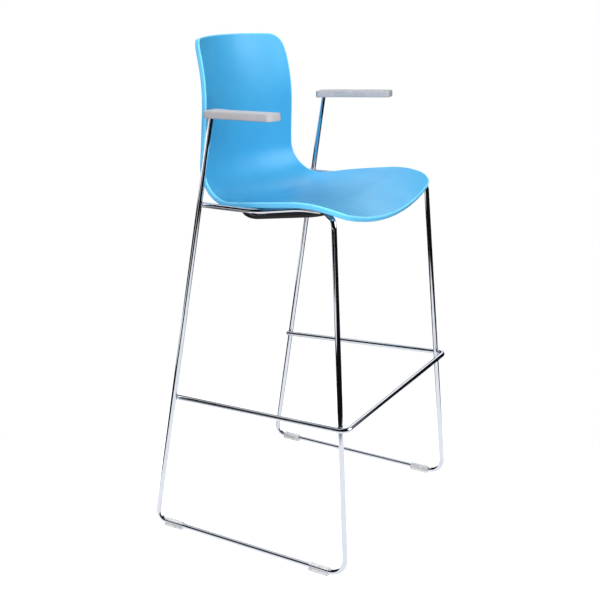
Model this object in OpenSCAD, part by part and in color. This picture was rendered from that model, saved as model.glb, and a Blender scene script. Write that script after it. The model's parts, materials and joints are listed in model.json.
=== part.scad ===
// Bar stool with a sled base: a moulded one-piece shell on a frame of bent round rod,
// with a footrest, two cantilevered arm pads and four clip-on glides.
// X runs across the stool, Y from the front (minus) to the back (plus), Z up.
// The origin is on the floor, under the middle of the base. Left and right are the sitter's.

/* [Rod] */
// Diameter of the round rod that the frame is bent from
rod_d = 11; // [10:0.5:12]
// Gap left at a welded contact between two pieces
weld_gap = 0.2; // [0.1:0.05:0.3]

/* [Base] */
// Distance between the two runners, centre to centre
base_w = 542; // [520:1:580]
// Length of a runner between the corners of the rear and the front leg
base_l = 494; // [470:1:530]
// Bend radius at the foot of the rear leg, to the rod's centre
rear_bend_r = 22; // [18:1:26]
// Bend radius at the foot of the front leg, to the rod's centre
front_bend_r = 36; // [28:1:38]

/* [Seat height] */
// Height of the seat surface on the centre line, over the middle of the base
seat_h = 748.5; // [700:0.5:780]
// Height of the seat rails' centre above that point of the seat
rail_rise = 11.4; // [11.2:0.1:11.4]

/* [Legs] */
// Distance between the tops of the rear legs, under the arm pads
arm_w = 475; // [465:1:500]
// Place of the rear legs' tops behind the middle of the base
arm_y = 89; // [75:1:100]
// Height of the arm pads' underside above the seat
arm_rise = 194; // [170:1:220]
// Distance between the tops of the front legs
front_top_w = 460; // [450:1:470]
// Distance of the front legs' tops in front of the middle of the base
front_top_reach = 188.5; // [180:0.5:192]
// Bend radius at the top of a front leg
top_bend_r = 18; // [14:1:22]

/* [Seat rails] */
// Distance between the rails where they run under the seat
rail_mid_w = 334; // [331:1:340]
// Front end of the rails' inner stretch, in front of the middle of the base
rail_front_reach = 134; // [130:1:138]
// Rear end of the rails' inner stretch, in front of the middle of the base
rail_rear_reach = 77; // [74:1:82]
// Place of the rails' rear bend, counted backwards from the middle of the base
rail_turn_y = -9; // [-11:1:-8]
// Bend radius of the rails' rear bends
rail_bend_r = 40; // [30:1:44]
// Bend radius where the rail comes in from the front leg
rail_front_bend_r = 25; // [18:1:28]

/* [Footrest] */
// Height of the footrest where it is welded to the rear legs
foot_rear_h = 317; // [280:1:360]
// Height of the footrest where it is welded to the front legs
foot_front_h = 336; // [300:1:380]
// How far the footrest's side bars run on past the front legs
foot_reach = 18; // [17:0.5:26]
// How far the side bars end behind the rear legs' centre
foot_tail = 4; // [3:0.5:16]
// Bend radius of the footrest's two corners
foot_bend_r = 17; // [12:0.5:17]

/* [Shell profile] */
// Height of the backrest's top edge above the seat
back_rise = 346.5; // [300:0.5:380]
// Place of the backrest's middle behind the middle of the base
back_y = 175; // [170:0.5:182]
// Height above the seat at which the backrest starts to lean back
flare_rise = 192; // [180:1:215]
// Radius of the backrest's backward lean
flare_r = 372; // [340:4:460]
// Radius of the bend between the backrest and the seat
seat_bend_r = 97; // [88:1:104]
// Upward slope of the seat towards its front, in degrees
seat_slope = 5.3; // [5:0.1:6]
// Start of the front roll, in front of the middle of the base
roll_reach = 97.5; // [94:0.5:110]
// Radius of the front roll
roll_r = 248; // [210:2:270]
// Front edge of the seat, in front of the middle of the base
lip_reach = 218; // [210:1:224]

/* [Shell widths] */
// Width of the backrest at its top corners
top_w = 342; // [320:1:350]
// Width of the backrest where it starts to lean back
flare_w = 358; // [335:1:364]
// Width at the foot of the backrest
waist_w = 368; // [350:1:374]
// Width in the middle of the bend
bend_w = 389; // [376:1:400]
// Width at the rear end of the seat
hip_w = 413; // [400:1:424]
// Width over the middle of the base
thigh_w = 454; // [448:1:462]
// Width at the start of the front roll
roll_w = 476; // [468:1:482]
// Width at the front corners
front_w = 472; // [466:1:492]
// Radius of the top corners
top_corner_r = 42; // [30:1:55]
// Radius of the front corners
front_corner_r = 53; // [40:1:60]
// Drop of the top edge from its middle to the corners
top_bow = 11.5; // [8:0.5:16]
// Set-back of the front edge from its middle to the corners
front_bow = 15; // [12:0.5:22]

/* [Shell section] */
// Wall thickness of the shell
shell_wall = 4.5; // [4:0.1:5]
// Depth of the turned rim
rim_depth = 11.8; // [9:0.1:11.8]
// Thickness of the turned rim
rim_wall = 5; // [4:0.1:6]
// Forward curl of the backrest's sides at the top, at 100 mm from the middle
top_dish = 13.4; // [10:0.1:15]
// Forward curl of the backrest's sides at its foot, at 100 mm from the middle
waist_dish = 8.6; // [8:0.1:11]
// Upward curl of the seat's sides, at 100 mm from the middle
seat_dish = 5.7; // [5.4:0.1:6]

/* [Seat fixing] */
// Thickness of the two cross plates
plate_t = 2.5; // [2:0.1:3]
// Width of the cross plates
plate_w = 24; // [20:0.5:25]
// Place of the front cross plate, in front of the middle of the base
front_plate_reach = 90; // [89:0.5:94]
// Place of the rear cross plate, in front of the middle of the base
rear_plate_reach = 15; // [10:0.5:22]
// How far the middle of the front cross plate is set down
front_plate_drop = 4.2; // [4:0.1:4.4]
// How far the middle of the rear cross plate is set down
rear_plate_drop = 12.5; // [12:0.1:13]
// Distance between the seat screws of one plate
seat_screw_gap = 140; // [110:1:180]
// Diameter of the shell's screw bosses
boss_d = 18; // [15:0.5:20]
// Outer diameter of a threaded insert
insert_d = 8; // [7.5:0.1:10]
// Depth of the insert's hole
insert_depth = 6.2; // [5.6:0.1:6.4]
// Nominal diameter of the seat screws
seat_screw_d = 6; // [5:0.5:6]
// Thickness of the seat screws' washers
washer_t = 1.2; // [0.8:0.1:1.3]
// Height of the seat screws' heads
seat_head_h = 3.3; // [2.8:0.1:3.4]

/* [Under-seat pan] */
// Half width of the pan at its top
pan_half_w = 150; // [142:0.5:151]
// Wall thickness of the pan
pan_wall = 2.5; // [2:0.1:2.6]
// Depth of the pan's floor below the seat surface, over the pan's rear end
pan_depth = 25.7; // [24:0.1:27]
// Slope of the pan's floor, in degrees
pan_slope = 8; // [7.6:0.1:8.1]
// Front end of the pan, in front of the middle of the base
pan_front_reach = 120; // [116:0.5:124]
// Rear end of the pan, behind the middle of the base
pan_rear_y = 92; // [74:0.5:94]
// Gap between the pan's top edge and the shell
pan_gap = 1.5; // [1.2:0.1:2]
// Distance between the pan screws of one plate
pan_screw_gap = 216; // [200:1:222]
// Nominal diameter of the pan screws
pan_screw_d = 4; // [3:0.5:4]

/* [Arm pads] */
// Length of an arm pad in front of the leg's centre
pad_l = 169.5; // [150:0.5:200]
// Width of an arm pad
pad_w = 37; // [34:0.5:44]
// Extra width of the pad's rear lobe, on the inner side
lobe_w = 10; // [8:0.5:14]
// Length of the pad behind the leg's centre
pad_tail = 11.5; // [11.5:0.5:18]
// Thickness of an arm pad
pad_t = 15.5; // [13:0.5:20]
// Radius of the pad's top edges
pad_edge_r = 3; // [2:0.5:5]
// Outward turn of the pads towards their fronts, in degrees
pad_toe = 8.7; // [0:0.1:12]
// Upward tilt of the pads towards their fronts, in degrees
pad_tilt = 1.8; // [0:0.1:4]
// Width of the steel bracket under an arm pad
bracket_w = 20; // [16:0.5:22]
// Thickness of the steel bracket
bracket_t = 3; // [2.5:0.1:4]
// Length of the bracket in front of the leg's centre
bracket_l = 105; // [90:1:120]
// Nominal diameter of the arm pad screws
arm_screw_d = 5; // [4:0.5:5]
// Place of the rear arm screw in front of the leg's centre
arm_screw_near = 36; // [28:1:44]
// Place of the front arm screw in front of the leg's centre
arm_screw_far = 90; // [74:1:92]

/* [Glides] */
// Length of a glide
glide_l = 46; // [36:1:46]
// Wall of a glide round the rod
glide_wall = 2.6; // [2:0.1:3.5]
// Thickness of a glide under the rod
glide_sole = 3; // [2:0.1:5]
// Width of the slot along a glide, on the outer side
glide_slot = 7; // [5:0.5:8]
// Distance of the rear glides from the rear end of the base
rear_glide_inset = 50; // [49:1:90]
// Distance of the front glides from the front end of the base
front_glide_inset = 63; // [63:1:100]

/* [Fits] */
// Gap round a screw in its hole and a rod in its glide
fit_gap = 0.15; // [0.1:0.05:0.2]
// Gap round a screw in a plain clearance hole
hole_gap = 0.25; // [0.2:0.05:0.4]

/* [Hidden] */

// A tiny overlap that lets a cut run past a face
eps = 0.01;
rod_r = rod_d / 2;
rod_fn = 32;
fine_fn = 48;

// Heights of the frame
runner_z = glide_sole + fit_gap + rod_r;
rail_z = seat_h + rail_rise;
arm_z = seat_h + arm_rise;

// Vector helpers
function unit(v) = v / norm(v);
function lerp(a, b, t) = a + (b - a) * t;
function mix_at(a, b, z) = lerp(a, b, (z - a.z) / (b.z - a.z));

// Corners of the left side frame's centre line
arm_top = [arm_w / 2, arm_y, arm_z];
rear_foot = [base_w / 2, base_l / 2, runner_z];
front_foot = [base_w / 2, -base_l / 2, runner_z];
front_top = [front_top_w / 2, -front_top_reach, rail_z];
rail_front = [rail_mid_w / 2, -rail_front_reach, rail_z];
rail_rear = [rail_mid_w / 2, -rail_rear_reach, rail_z];
rail_tail = 6;
rail_end = mix_at(rear_foot, arm_top, rail_z) + [-rod_d - weld_gap, rail_tail, 0];
rail_turn = [rail_end.x, rail_turn_y, rail_z];

// Axis of an arm pad's normal, for a pad on the left
pad_up = [
    -sin(pad_tilt) * sin(pad_toe),
    sin(pad_tilt) * cos(pad_toe),
    cos(pad_tilt)
];
leg_dir = unit(arm_top - rear_foot);
bracket_h = 1;
leg_lean = acos(leg_dir * pad_up);
leg_top = arm_top + leg_dir * (bracket_h - weld_gap - rod_r * sin(leg_lean)) / cos(leg_lean);

// Round rod along a chain of points, with a bend radius at each inner point

function turn_of(p, i) = acos(unit(p[i] - p[i - 1]) * unit(p[i + 1] - p[i]));
function setback(p, r, i) = (i == 0 || i == len(p) - 1) ? 0 : r[i] * tan(turn_of(p, i) / 2);

// A bend is drawn this much thinner than the straights, and runs this far into them
bend_thin = 0.02;
bend_lap = 0.3;

module rod_between(a, b) {
    d = b - a;
    axis = cross([0, 0, 1], unit(d));
    translate(a)
        rotate(a = acos(unit(d).z), v = norm(axis) < 1e-9 ? [1, 0, 0] : axis)
            cylinder(h = norm(d), r = rod_r, $fn = rod_fn);
}

module rod_bend(p, r, i) {
    into = unit(p[i] - p[i - 1]);
    out = unit(p[i + 1] - p[i]);
    turn = turn_of(p, i);
    side = (out - into * cos(turn)) / sin(turn);
    centre = p[i] - into * setback(p, r, i) + side * r[i];
    lap = bend_lap / r[i] * 180 / PI;
    ax = -side;
    az = cross(ax, into);
    multmatrix([
        [ax.x, into.x, az.x, centre.x],
        [ax.y, into.y, az.y, centre.y],
        [ax.z, into.z, az.z, centre.z],
        [0, 0, 0, 1]
    ])
        rotate([0, 0, -lap])
            rotate_extrude(angle = turn + 2 * lap, $fn = 96)
                translate([r[i], 0])
                    circle(r = rod_r - bend_thin, $fn = rod_fn);
}

module rod_path(p, r) {
    for (i = [0 : len(p) - 2]) {
        along = unit(p[i + 1] - p[i]);
        rod_between(p[i] + along * setback(p, r, i), p[i + 1] - along * setback(p, r, i + 1));
    }
    for (i = [1 : len(p) - 2])
        rod_bend(p, r, i);
}

// Closed outlines with round corners: each corner is [x, y, radius]

function cross2(a, b) = a.x * b.y - a.y * b.x;
function xy(c) = [c.x, c.y];
function at(c, i) = c[(i + len(c)) % len(c)];
function corner_turn(c, i) = let (
    into = unit(xy(at(c, i)) - xy(at(c, i - 1))),
    out = unit(xy(at(c, i + 1)) - xy(at(c, i)))
) atan2(cross2(into, out), into * out);

// Moves every corner in by d and keeps its round concentric
function inset(c, d) = [
    for (i = [0 : len(c) - 1])
        let (
            into = unit(xy(at(c, i)) - xy(at(c, i - 1))),
            turn = corner_turn(c, i),
            normal = [-into.y, into.x],
            p = xy(c[i]) + d * (normal + into * -tan(turn / 2)),
            r = c[i].z - d * sign(turn)
        ) [p.x, p.y, max(r, 0.3)]
];

function outline(c, steps = 6) = [
    for (i = [0 : len(c) - 1])
        let (
            into = unit(xy(at(c, i)) - xy(at(c, i - 1))),
            turn = corner_turn(c, i),
            r = c[i].z * sign(turn),
            start = xy(c[i]) - into * r * tan(turn / 2),
            centre = start + r * [-into.y, into.x]
        )
            for (k = [0 : steps])
                let (a = turn * k / steps)
                    centre + r * [into.y * cos(a) + into.x * sin(a), -into.x * cos(a) + into.y * sin(a)]
];

function lift(loop, z) = [for (p = loop) [p.x, p.y, z]];

// Closed solid through loops of equal length, lowest first and counterclockwise from above.
// Each end is a fan round its loop's mean point, which aside moves away from what is cut there.
module skin(loops, aside = [0, 0, 0]) {
    n = len(loops[0]);
    m = len(loops);
    foot = len(loops) * n;
    low = mean(loops[0]) + aside;
    high = mean(loops[m - 1]) + aside;
    points = concat([for (loop = loops) each loop], [low, high]);
    walls = [
        for (j = [0 : m - 2], i = [0 : n - 1])
            let (k = (i + 1) % n)
                each [
                    [j * n + i, (j + 1) * n + k, j * n + k],
                    [j * n + i, (j + 1) * n + i, (j + 1) * n + k]
                ]
    ];
    caps = [
        for (i = [0 : n - 1])
            let (k = (i + 1) % n)
                each [[foot, i, k], [foot + 1, (m - 1) * n + k, (m - 1) * n + i]]
    ];
    polyhedron(points = points, faces = concat(walls, caps), convexity = 6);
}

function mean(loop) = sum_of(loop) / len(loop);
function sum_of(list, i = 0) = i == len(list) - 1 ? list[i] : list[i] + sum_of(list, i + 1);

// Shell: its centre line runs from the top edge down the back and forward to the front edge.
// Each stretch of it is [length, turn], with the turn in degrees.
// The heading is the angle from straight down, turning forward.

top_heading = asin((back_rise - flare_rise) / flare_r);
bend_z = seat_h - (back_y - seat_bend_r) * tan(seat_slope) + seat_bend_r / cos(seat_slope);
seat_start_y = back_y - seat_bend_r - seat_bend_r * sin(seat_slope);
lip_heading = asin((lip_reach - roll_reach) / roll_r - sin(seat_slope));
stretches = [
    [flare_r * top_heading * PI / 180, -top_heading],
    [seat_h + flare_rise - bend_z, 0],
    [seat_bend_r * (90 + seat_slope) * PI / 180, 90 + seat_slope],
    [(seat_start_y + roll_reach) / cos(seat_slope), 0],
    [roll_r * (lip_heading + seat_slope) * PI / 180, -(lip_heading + seat_slope)]
];
top_start = [back_y + flare_r * (1 - cos(top_heading)), seat_h + back_rise, top_heading];

function start_of(i) = i == 0 ? 0 : start_of(i - 1) + stretches[i - 1][0];
shell_l = start_of(len(stretches));

// State [y, z, heading] after a run of s along a stretch that starts in a given state
function advance(from, stretch, s) = let (
    turn = stretch[1] * s / stretch[0],
    h0 = from[2],
    h1 = h0 + turn,
    r = turn == 0 ? 0 : stretch[0] / (stretch[1] * PI / 180)
) turn == 0
    ? [from[0] - s * sin(h0), from[1] - s * cos(h0), h0]
    : [from[0] - r * (cos(h0) - cos(h1)), from[1] - r * (sin(h1) - sin(h0)), h1];

function state_at(s, i = 0, from = top_start) =
    (i == len(stretches) - 1 || s <= stretches[i][0])
        ? advance(from, stretches[i], s)
        : state_at(s - stretches[i][0], i + 1, advance(from, stretches[i], stretches[i][0]));

// Smooth curve through [place, value] keys
function slope_at(k, i) =
    i == 0 ? (k[1][1] - k[0][1]) / (k[1][0] - k[0][0])
    : i == len(k) - 1 ? (k[i][1] - k[i - 1][1]) / (k[i][0] - k[i - 1][0])
    : (k[i + 1][1] - k[i - 1][1]) / (k[i + 1][0] - k[i - 1][0]);
function span_of(k, s, i = 0) = (i >= len(k) - 2 || s < k[i + 1][0]) ? i : span_of(k, s, i + 1);
function through(k, s) = let (
    i = span_of(k, s),
    w = k[i + 1][0] - k[i][0],
    t = min(max((s - k[i][0]) / w, 0), 1)
) (1 + 2 * t) * pow(1 - t, 2) * k[i][1]
    + t * pow(1 - t, 2) * w * slope_at(k, i)
    + t * t * (3 - 2 * t) * k[i + 1][1]
    - t * t * (1 - t) * w * slope_at(k, i + 1);

seat_mid_s = start_of(3) + seat_start_y / cos(seat_slope);
half_widths = [
    [top_corner_r, top_w / 2],
    [start_of(1), flare_w / 2],
    [start_of(2), waist_w / 2],
    [start_of(2) + stretches[2][0] / 2, bend_w / 2],
    [start_of(3), hip_w / 2],
    [seat_mid_s, thigh_w / 2],
    [start_of(4), roll_w / 2],
    [shell_l - front_corner_r, front_w / 2]
];
function half_width(s) = through(half_widths, s);

// Curl of the surface at x, as a share of x squared
curl_span = 100;
curls = [
    [0, top_dish / pow(curl_span, 2)],
    [start_of(2), waist_dish / pow(curl_span, 2)],
    [start_of(3), seat_dish / pow(curl_span, 2)],
    [shell_l, seat_dish / pow(curl_span, 2)]
];
function curl_at(s) = through(curls, s);

// Point of the shell at x and s, a depth t below the sitter's surface
function shell_point(x, s, t = 0) = let (
    c = state_at(s),
    d = curl_at(s) * x * x - t
) [x, c[0] - cos(c[2]) * d, c[1] + sin(c[2]) * d];

// Half of the edge as [x, s] points: a bowed end, then a round corner.
// The corner starts where its round has the same slope as the bow.
function bow_rate(w, r, bow) = bow / pow(w / 2 - r, 2);
function join_angle(w, r, bow) = let (b = bow_rate(w, r, bow))
    atan(2 * b * (w / 2 - r) / (1 - 2 * b * r));
function corner_depth(w, r, bow) = let (
    a = join_angle(w, r, bow),
    x = w / 2 - r + r * sin(a)
) bow_rate(w, r, bow) * x * x + r * cos(a);

bow_steps = 8;
corner_steps = 7;
function end_edge(w, r, bow) = let (
    a0 = join_angle(w, r, bow),
    x0 = w / 2 - r + r * sin(a0)
) concat(
    [for (i = [0 : bow_steps - 1]) let (x = x0 * i / bow_steps) [x, bow_rate(w, r, bow) * x * x]],
    [
        for (i = [0 : corner_steps])
            let (a = lerp(a0, 90, i / corner_steps))
                [w / 2 - r + r * sin(a), corner_depth(w, r, bow) - r * cos(a)]
    ]
);

top_depth = corner_depth(top_w, top_corner_r, top_bow);
front_depth = corner_depth(front_w, front_corner_r, front_bow);
side_steps = 30;
top_edge = end_edge(top_w, top_corner_r, top_bow);
front_edge = end_edge(front_w, front_corner_r, front_bow);
side_edge = [
    for (i = [1 : side_steps - 1])
        let (s = lerp(top_depth, shell_l - front_depth, i / side_steps)) [half_width(s), s]
];
half_edge = concat(
    top_edge,
    side_edge,
    [for (i = [len(front_edge) - 1 : -1 : 0]) [front_edge[i].x, shell_l - front_edge[i].y]]
);
half_n = len(half_edge) - 1;
edge = concat(half_edge, [for (i = [half_n - 1 : -1 : 1]) [-half_edge[i].x, half_edge[i].y]]);

function edge_inward(k) = let (d = unit(at(edge, k + 1) - at(edge, k - 1))) [-d.y, d.x];

// Middle point that the surface runs in to from edge point k
spine_end = 60;
function spine(k) = let (i = min(k, 2 * half_n - k)) [0, lerp(spine_end, shell_l - spine_end, i / half_n)];

// Section of the rim as [distance in from the edge, depth], from the sitter's side round to the back
lip_r = 2;
rim_section = [
    [lip_r + 2, 0],
    [lip_r, 0],
    [lip_r * 0.3, lip_r * 0.3],
    [0, lip_r],
    [0, rim_depth - lip_r],
    [lip_r * 0.3, rim_depth - lip_r * 0.3],
    [lip_r, rim_depth],
    [rim_wall - 0.8, rim_depth],
    [rim_wall, rim_depth - 0.8],
    [rim_wall + 0.8, shell_wall + 0.8],
    [rim_wall + 1.8, shell_wall]
];
field_steps = [0.2, 0.4, 0.6, 0.8];

function rim_point(k, q) = let (p = edge[k] + edge_inward(k) * q[0]) shell_point(p.x, p.y, q[1]);
function field_point(k, q, f) = let (p = lerp(edge[k] + edge_inward(k) * q[0], spine(k), f))
    shell_point(p.x, p.y, q[1]);

module shell_body() {
    n = len(edge);
    front_q = rim_section[0];
    back_q = rim_section[len(rim_section) - 1];
    rings = concat(
        [for (i = [len(field_steps) - 1 : -1 : 0]) [for (k = [0 : n - 1]) field_point(k, front_q, field_steps[i])]],
        [for (q = rim_section) [for (k = [0 : n - 1]) rim_point(k, q)]],
        [for (f = field_steps) [for (k = [0 : n - 1]) field_point(k, back_q, f)]]
    );
    m = len(rings);
    front_spine = [for (i = [0 : half_n]) let (p = spine(i)) shell_point(p.x, p.y, 0)];
    back_spine = [for (i = [0 : half_n]) let (p = spine(i)) shell_point(p.x, p.y, shell_wall)];
    points = concat([for (ring = rings) each ring], front_spine, back_spine);
    front0 = m * n;
    back0 = m * n + half_n + 1;
    walls = [
        for (j = [0 : m - 2], i = [0 : n - 1])
            let (k = (i + 1) % n)
                each [
                    [j * n + i, (j + 1) * n + k, j * n + k],
                    [j * n + i, (j + 1) * n + i, (j + 1) * n + k]
                ]
    ];
    closings = [
        for (i = [0 : n - 1])
            let (
                k = (i + 1) % n,
                si = min(i, n - i),
                sk = min(k, n - k),
                last = (m - 1) * n
            )
                each [
                    [i, k, front0 + sk],
                    [i, front0 + sk, front0 + si],
                    [last + i, back0 + sk, last + k],
                    [last + i, back0 + si, back0 + sk]
                ]
    ];
    polyhedron(points = points, faces = concat(walls, closings), convexity = 8);
}

// Height of the sitter's surface over a point of the straight part of the seat
function seat_z(x, y) = seat_h - y * tan(seat_slope) + seat_dish * pow(x / curl_span, 2);

plate_top = rail_z - rod_r - weld_gap / 2;
front_plate_y = -front_plate_reach;
rear_plate_y = -rear_plate_reach;
// Each row of screws is [y, height of the plate's top]
plate_rows = [[front_plate_y, plate_top - front_plate_drop], [rear_plate_y, plate_top - rear_plate_drop]];
// Each place is [x, y, height of the plate's top]
seat_places = [
    for (side = [-1, 1], p = plate_rows)
        [side * seat_screw_gap / 2, p[0], p[1]]
];
insert_hole_d = insert_d + 2 * fit_gap;
skin_over_boss = 2.2;

module shell() {
    color([0.29, 0.66, 0.89])
        difference() {
            union() {
                shell_body();
                for (p = seat_places)
                    translate(p)
                        cylinder(h = seat_z(p.x, p.y) - skin_over_boss - p.z, d = boss_d, $fn = fine_fn);
            }
            for (p = seat_places)
                translate([p.x, p.y, p.z - eps])
                    cylinder(h = insert_depth + eps, d = insert_hole_d, $fn = fine_fn);
        }
}

module seat_inserts() {
    color([0.78, 0.62, 0.3])
        for (p = seat_places)
            translate([p.x, p.y, p.z + fit_gap])
                difference() {
                    cylinder(h = insert_depth - 2 * fit_gap, d = insert_d, $fn = fine_fn);
                    translate([0, 0, -eps])
                        cylinder(h = insert_depth, d = seat_screw_d + 2 * fit_gap, $fn = fine_fn);
                }
}

seat_head_d = seat_screw_d * 1.9;
module seat_screws() {
    color([0.6, 0.61, 0.63])
        for (p = seat_places) {
            under = p.z - plate_t - washer_t;
            translate([p.x, p.y, under])
                cylinder(h = plate_t + washer_t + insert_depth - 3 * fit_gap, d = seat_screw_d, $fn = fine_fn);
            translate([p.x, p.y, under - seat_head_h])
                difference() {
                    cylinder(h = seat_head_h, d = seat_head_d, $fn = fine_fn);
                    translate([0, 0, -eps])
                        cylinder(h = seat_head_h * 0.6, d = seat_screw_d * 0.66, $fn = 6);
                }
        }
}

module seat_washers() {
    color([0.7, 0.71, 0.73])
        for (p = seat_places)
            translate([p.x, p.y, p.z - plate_t - washer_t])
                difference() {
                    cylinder(h = washer_t, d = seat_screw_d * 2, $fn = fine_fn);
                    translate([0, 0, -eps])
                        cylinder(h = washer_t + 2 * eps, d = seat_screw_d + 2 * hole_gap, $fn = fine_fn);
                }
}

// Side frames: arm stub, rear leg, runner, front leg and seat rail in one bent rod

module side_frame() {
    rod_path(
        [leg_top, rear_foot, front_foot, front_top, rail_front, rail_rear, rail_turn, rail_end],
        [0, rear_bend_r, front_bend_r, top_bend_r, rail_front_bend_r, rail_bend_r, rail_bend_r, 0]
    );
}

module left_side_frame() {
    color([0.8, 0.81, 0.83])
        side_frame();
}

module right_side_frame() {
    color([0.8, 0.81, 0.83])
        mirror([1, 0, 0])
            side_frame();
}

// Footrest: it passes inside the rear legs and outside the front legs

foot_side = rod_d + weld_gap;
foot_rear = mix_at(rear_foot, arm_top, foot_rear_h) - [foot_side, 0, 0];
foot_front = mix_at(front_foot, front_top, foot_front_h) + [foot_side, 0, 0];
foot_dir = unit(foot_front - foot_rear);
foot_end = foot_rear - foot_dir * foot_tail;
foot_corner = foot_front + foot_dir * foot_reach;

function mirrored(p) = [-p.x, p.y, p.z];

module footrest() {
    color([0.78, 0.79, 0.82])
        rod_path(
            [foot_end, foot_corner, mirrored(foot_corner), mirrored(foot_end)],
            [0, foot_bend_r, foot_bend_r, 0]
        );
}

// Cross plates: flat bars welded under the rails, with the seat and pan screws' holes

// Half distance between the rails at y, on the straight lines between their corners
function rail_x(y) = y <= rail_rear.y ? rail_rear.x : lerp(rail_rear.x, rail_turn.x, (y - rail_rear.y) / (rail_turn.y - rail_rear.y));

plate_flat = pan_screw_gap / 2 + 10;
plate_ramp = 16;
plate_reach = base_w / 2;

module cross_plate(y, drop) {
    y0 = y - plate_w / 2;
    y1 = y + plate_w / 2;
    difference() {
        intersection() {
            translate([0, 0, plate_top - drop - 2 * plate_t])
                linear_extrude(drop + 4 * plate_t)
                    polygon([[-rail_x(y0), y0], [rail_x(y0), y0], [rail_x(y1), y1], [-rail_x(y1), y1]]);
            translate([0, y1 + 1, plate_top])
                rotate([90, 0, 0])
                    linear_extrude(plate_w + 2)
                        polygon([
                            [-plate_reach, 0], [-plate_flat - plate_ramp, 0],
                            [-plate_flat, -drop], [plate_flat, -drop],
                            [plate_flat + plate_ramp, 0], [plate_reach, 0],
                            [plate_reach, -plate_t], [plate_flat + plate_ramp, -plate_t],
                            [plate_flat, -drop - plate_t], [-plate_flat, -drop - plate_t],
                            [-plate_flat - plate_ramp, -plate_t], [-plate_reach, -plate_t]
                        ]);
        }
        for (side = [-1, 1]) {
            translate([side * seat_screw_gap / 2, y, plate_top - drop - plate_t - eps])
                cylinder(h = plate_t + 2 * eps, d = seat_screw_d + 2 * hole_gap, $fn = fine_fn);
            translate([side * pan_screw_gap / 2, y, plate_top - drop - plate_t - eps])
                cylinder(h = plate_t + 2 * eps, d = pan_screw_d + 2 * fit_gap, $fn = fine_fn);
        }
    }
}

module front_cross_plate() {
    color([0.8, 0.81, 0.83])
        cross_plate(front_plate_y, front_plate_drop);
}

module rear_cross_plate() {
    color([0.8, 0.81, 0.83])
        cross_plate(rear_plate_y, rear_plate_drop);
}

// Under-seat pan: a shallow tray between the rails, its floor sloped like the seat

pan_low_y = pan_rear_y - 39;
pan_low_z = seat_z(0, pan_low_y) - pan_depth;
function pan_floor_z(y) = pan_low_z - (y - pan_low_y) * tan(pan_slope);

// Loops of the tray's outside, as [set-in at the sides, set-in at the rear, height]
pan_rows = [[11, 35, 0], [7, 28, 0.8], [4.5, 19.5, 3.2], [2.5, 11, 8], [1.2, 5.5, 14], [0, 0, 32]];
pan_corner_r = 26;

function pan_loop(row, wall, z) = let (
    w = pan_half_w - row[0] - wall,
    y0 = -pan_front_reach + row[0] + wall,
    y1 = pan_rear_y - row[1] - wall,
    r = pan_corner_r - wall
) [
    for (p = outline([[w, y0, r], [w, y1, r], [-w, y1, r], [-w, y0, r]], 5))
        [p.x, p.y, pan_floor_z(p.y) + row[2] + z]
];

// The underside of the straight part of the seat, as a long round bar
module seat_hollow(clear) {
    bar_r = pow(curl_span, 2) / (2 * seat_dish);
    translate([0, 0, seat_h])
        rotate([90 - seat_slope, 0, 0])
            translate([0, bar_r - shell_wall - clear, -300])
                cylinder(h = 600, r = bar_r, $fn = 360);
}

// Each place is [x, y, height of the plate's underside]
pan_places = [
    for (side = [-1, 1], p = plate_rows)
        [side * pan_screw_gap / 2, p[0], p[1] - plate_t]
];
standoff_d = 11;
pan_head_d = pan_screw_d * 2;
pan_head_h = 2.4;
pan_sink = 3;
notch_gap = 0.6;

module under_seat_pan() {
    color([0.15, 0.15, 0.16])
        difference() {
            union() {
                difference() {
                    skin([for (row = pan_rows) pan_loop(row, 0, 0)]);
                    skin([for (row = pan_rows) pan_loop(row, pan_wall, pan_wall)]);
                }
                for (p = pan_places)
                    translate([p.x, p.y, pan_floor_z(p.y) + pan_wall / 2])
                        cylinder(h = p.z - pan_floor_z(p.y) - pan_wall / 2, d = standoff_d, $fn = fine_fn);
            }
            seat_hollow(pan_gap);
            for (y = [front_plate_y, rear_plate_y], side = [-1, 1])
                translate([side * (pan_half_w - 3), y, plate_top - plate_t - notch_gap + 50])
                    cube([24, plate_w + 2 * notch_gap, 100], center = true);
            for (p = pan_places) {
                translate([p.x, p.y, p.z - 60])
                    cylinder(h = 60 + eps, d = pan_screw_d + 2 * hole_gap, $fn = fine_fn);
                translate([p.x, p.y, pan_floor_z(p.y) + pan_sink - 40])
                    cylinder(h = 40, d = pan_head_d + 2 * hole_gap, $fn = fine_fn);
            }
        }
}

module pan_screws() {
    color([0.2, 0.2, 0.21])
        for (p = pan_places) {
            seat = pan_floor_z(p.y) + pan_sink;
            translate([p.x, p.y, seat - eps])
                cylinder(h = p.z + plate_t - seat + eps, d = pan_screw_d, $fn = fine_fn);
            translate([p.x, p.y, seat - pan_head_h])
                difference() {
                    cylinder(h = pan_head_h, d = pan_head_d, $fn = fine_fn);
                    translate([0, 0, -eps])
                        cylinder(h = pan_head_h * 0.6, d = pan_screw_d * 0.6, $fn = 6);
                }
        }
}

// Arms: a steel bracket on the rear leg's top, let into the underside of a moulded pad.
// In the arm's own frame the pad points along minus Y and X is outward.

module on_left_arm() {
    translate(arm_top)
        rotate([0, 0, pad_toe])
            rotate([-pad_tilt, 0, 0])
                children();
}

module on_right_arm() {
    mirror([1, 0, 0])
        on_left_arm()
            children();
}

arm_screw_reaches = [arm_screw_near, arm_screw_far];
arm_head_d = arm_screw_d * 1.8;
arm_head_h = arm_screw_d * 0.45;
arm_screw_l = 10;
bracket_tail = 5.5;
recess_gap = 0.3;

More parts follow.
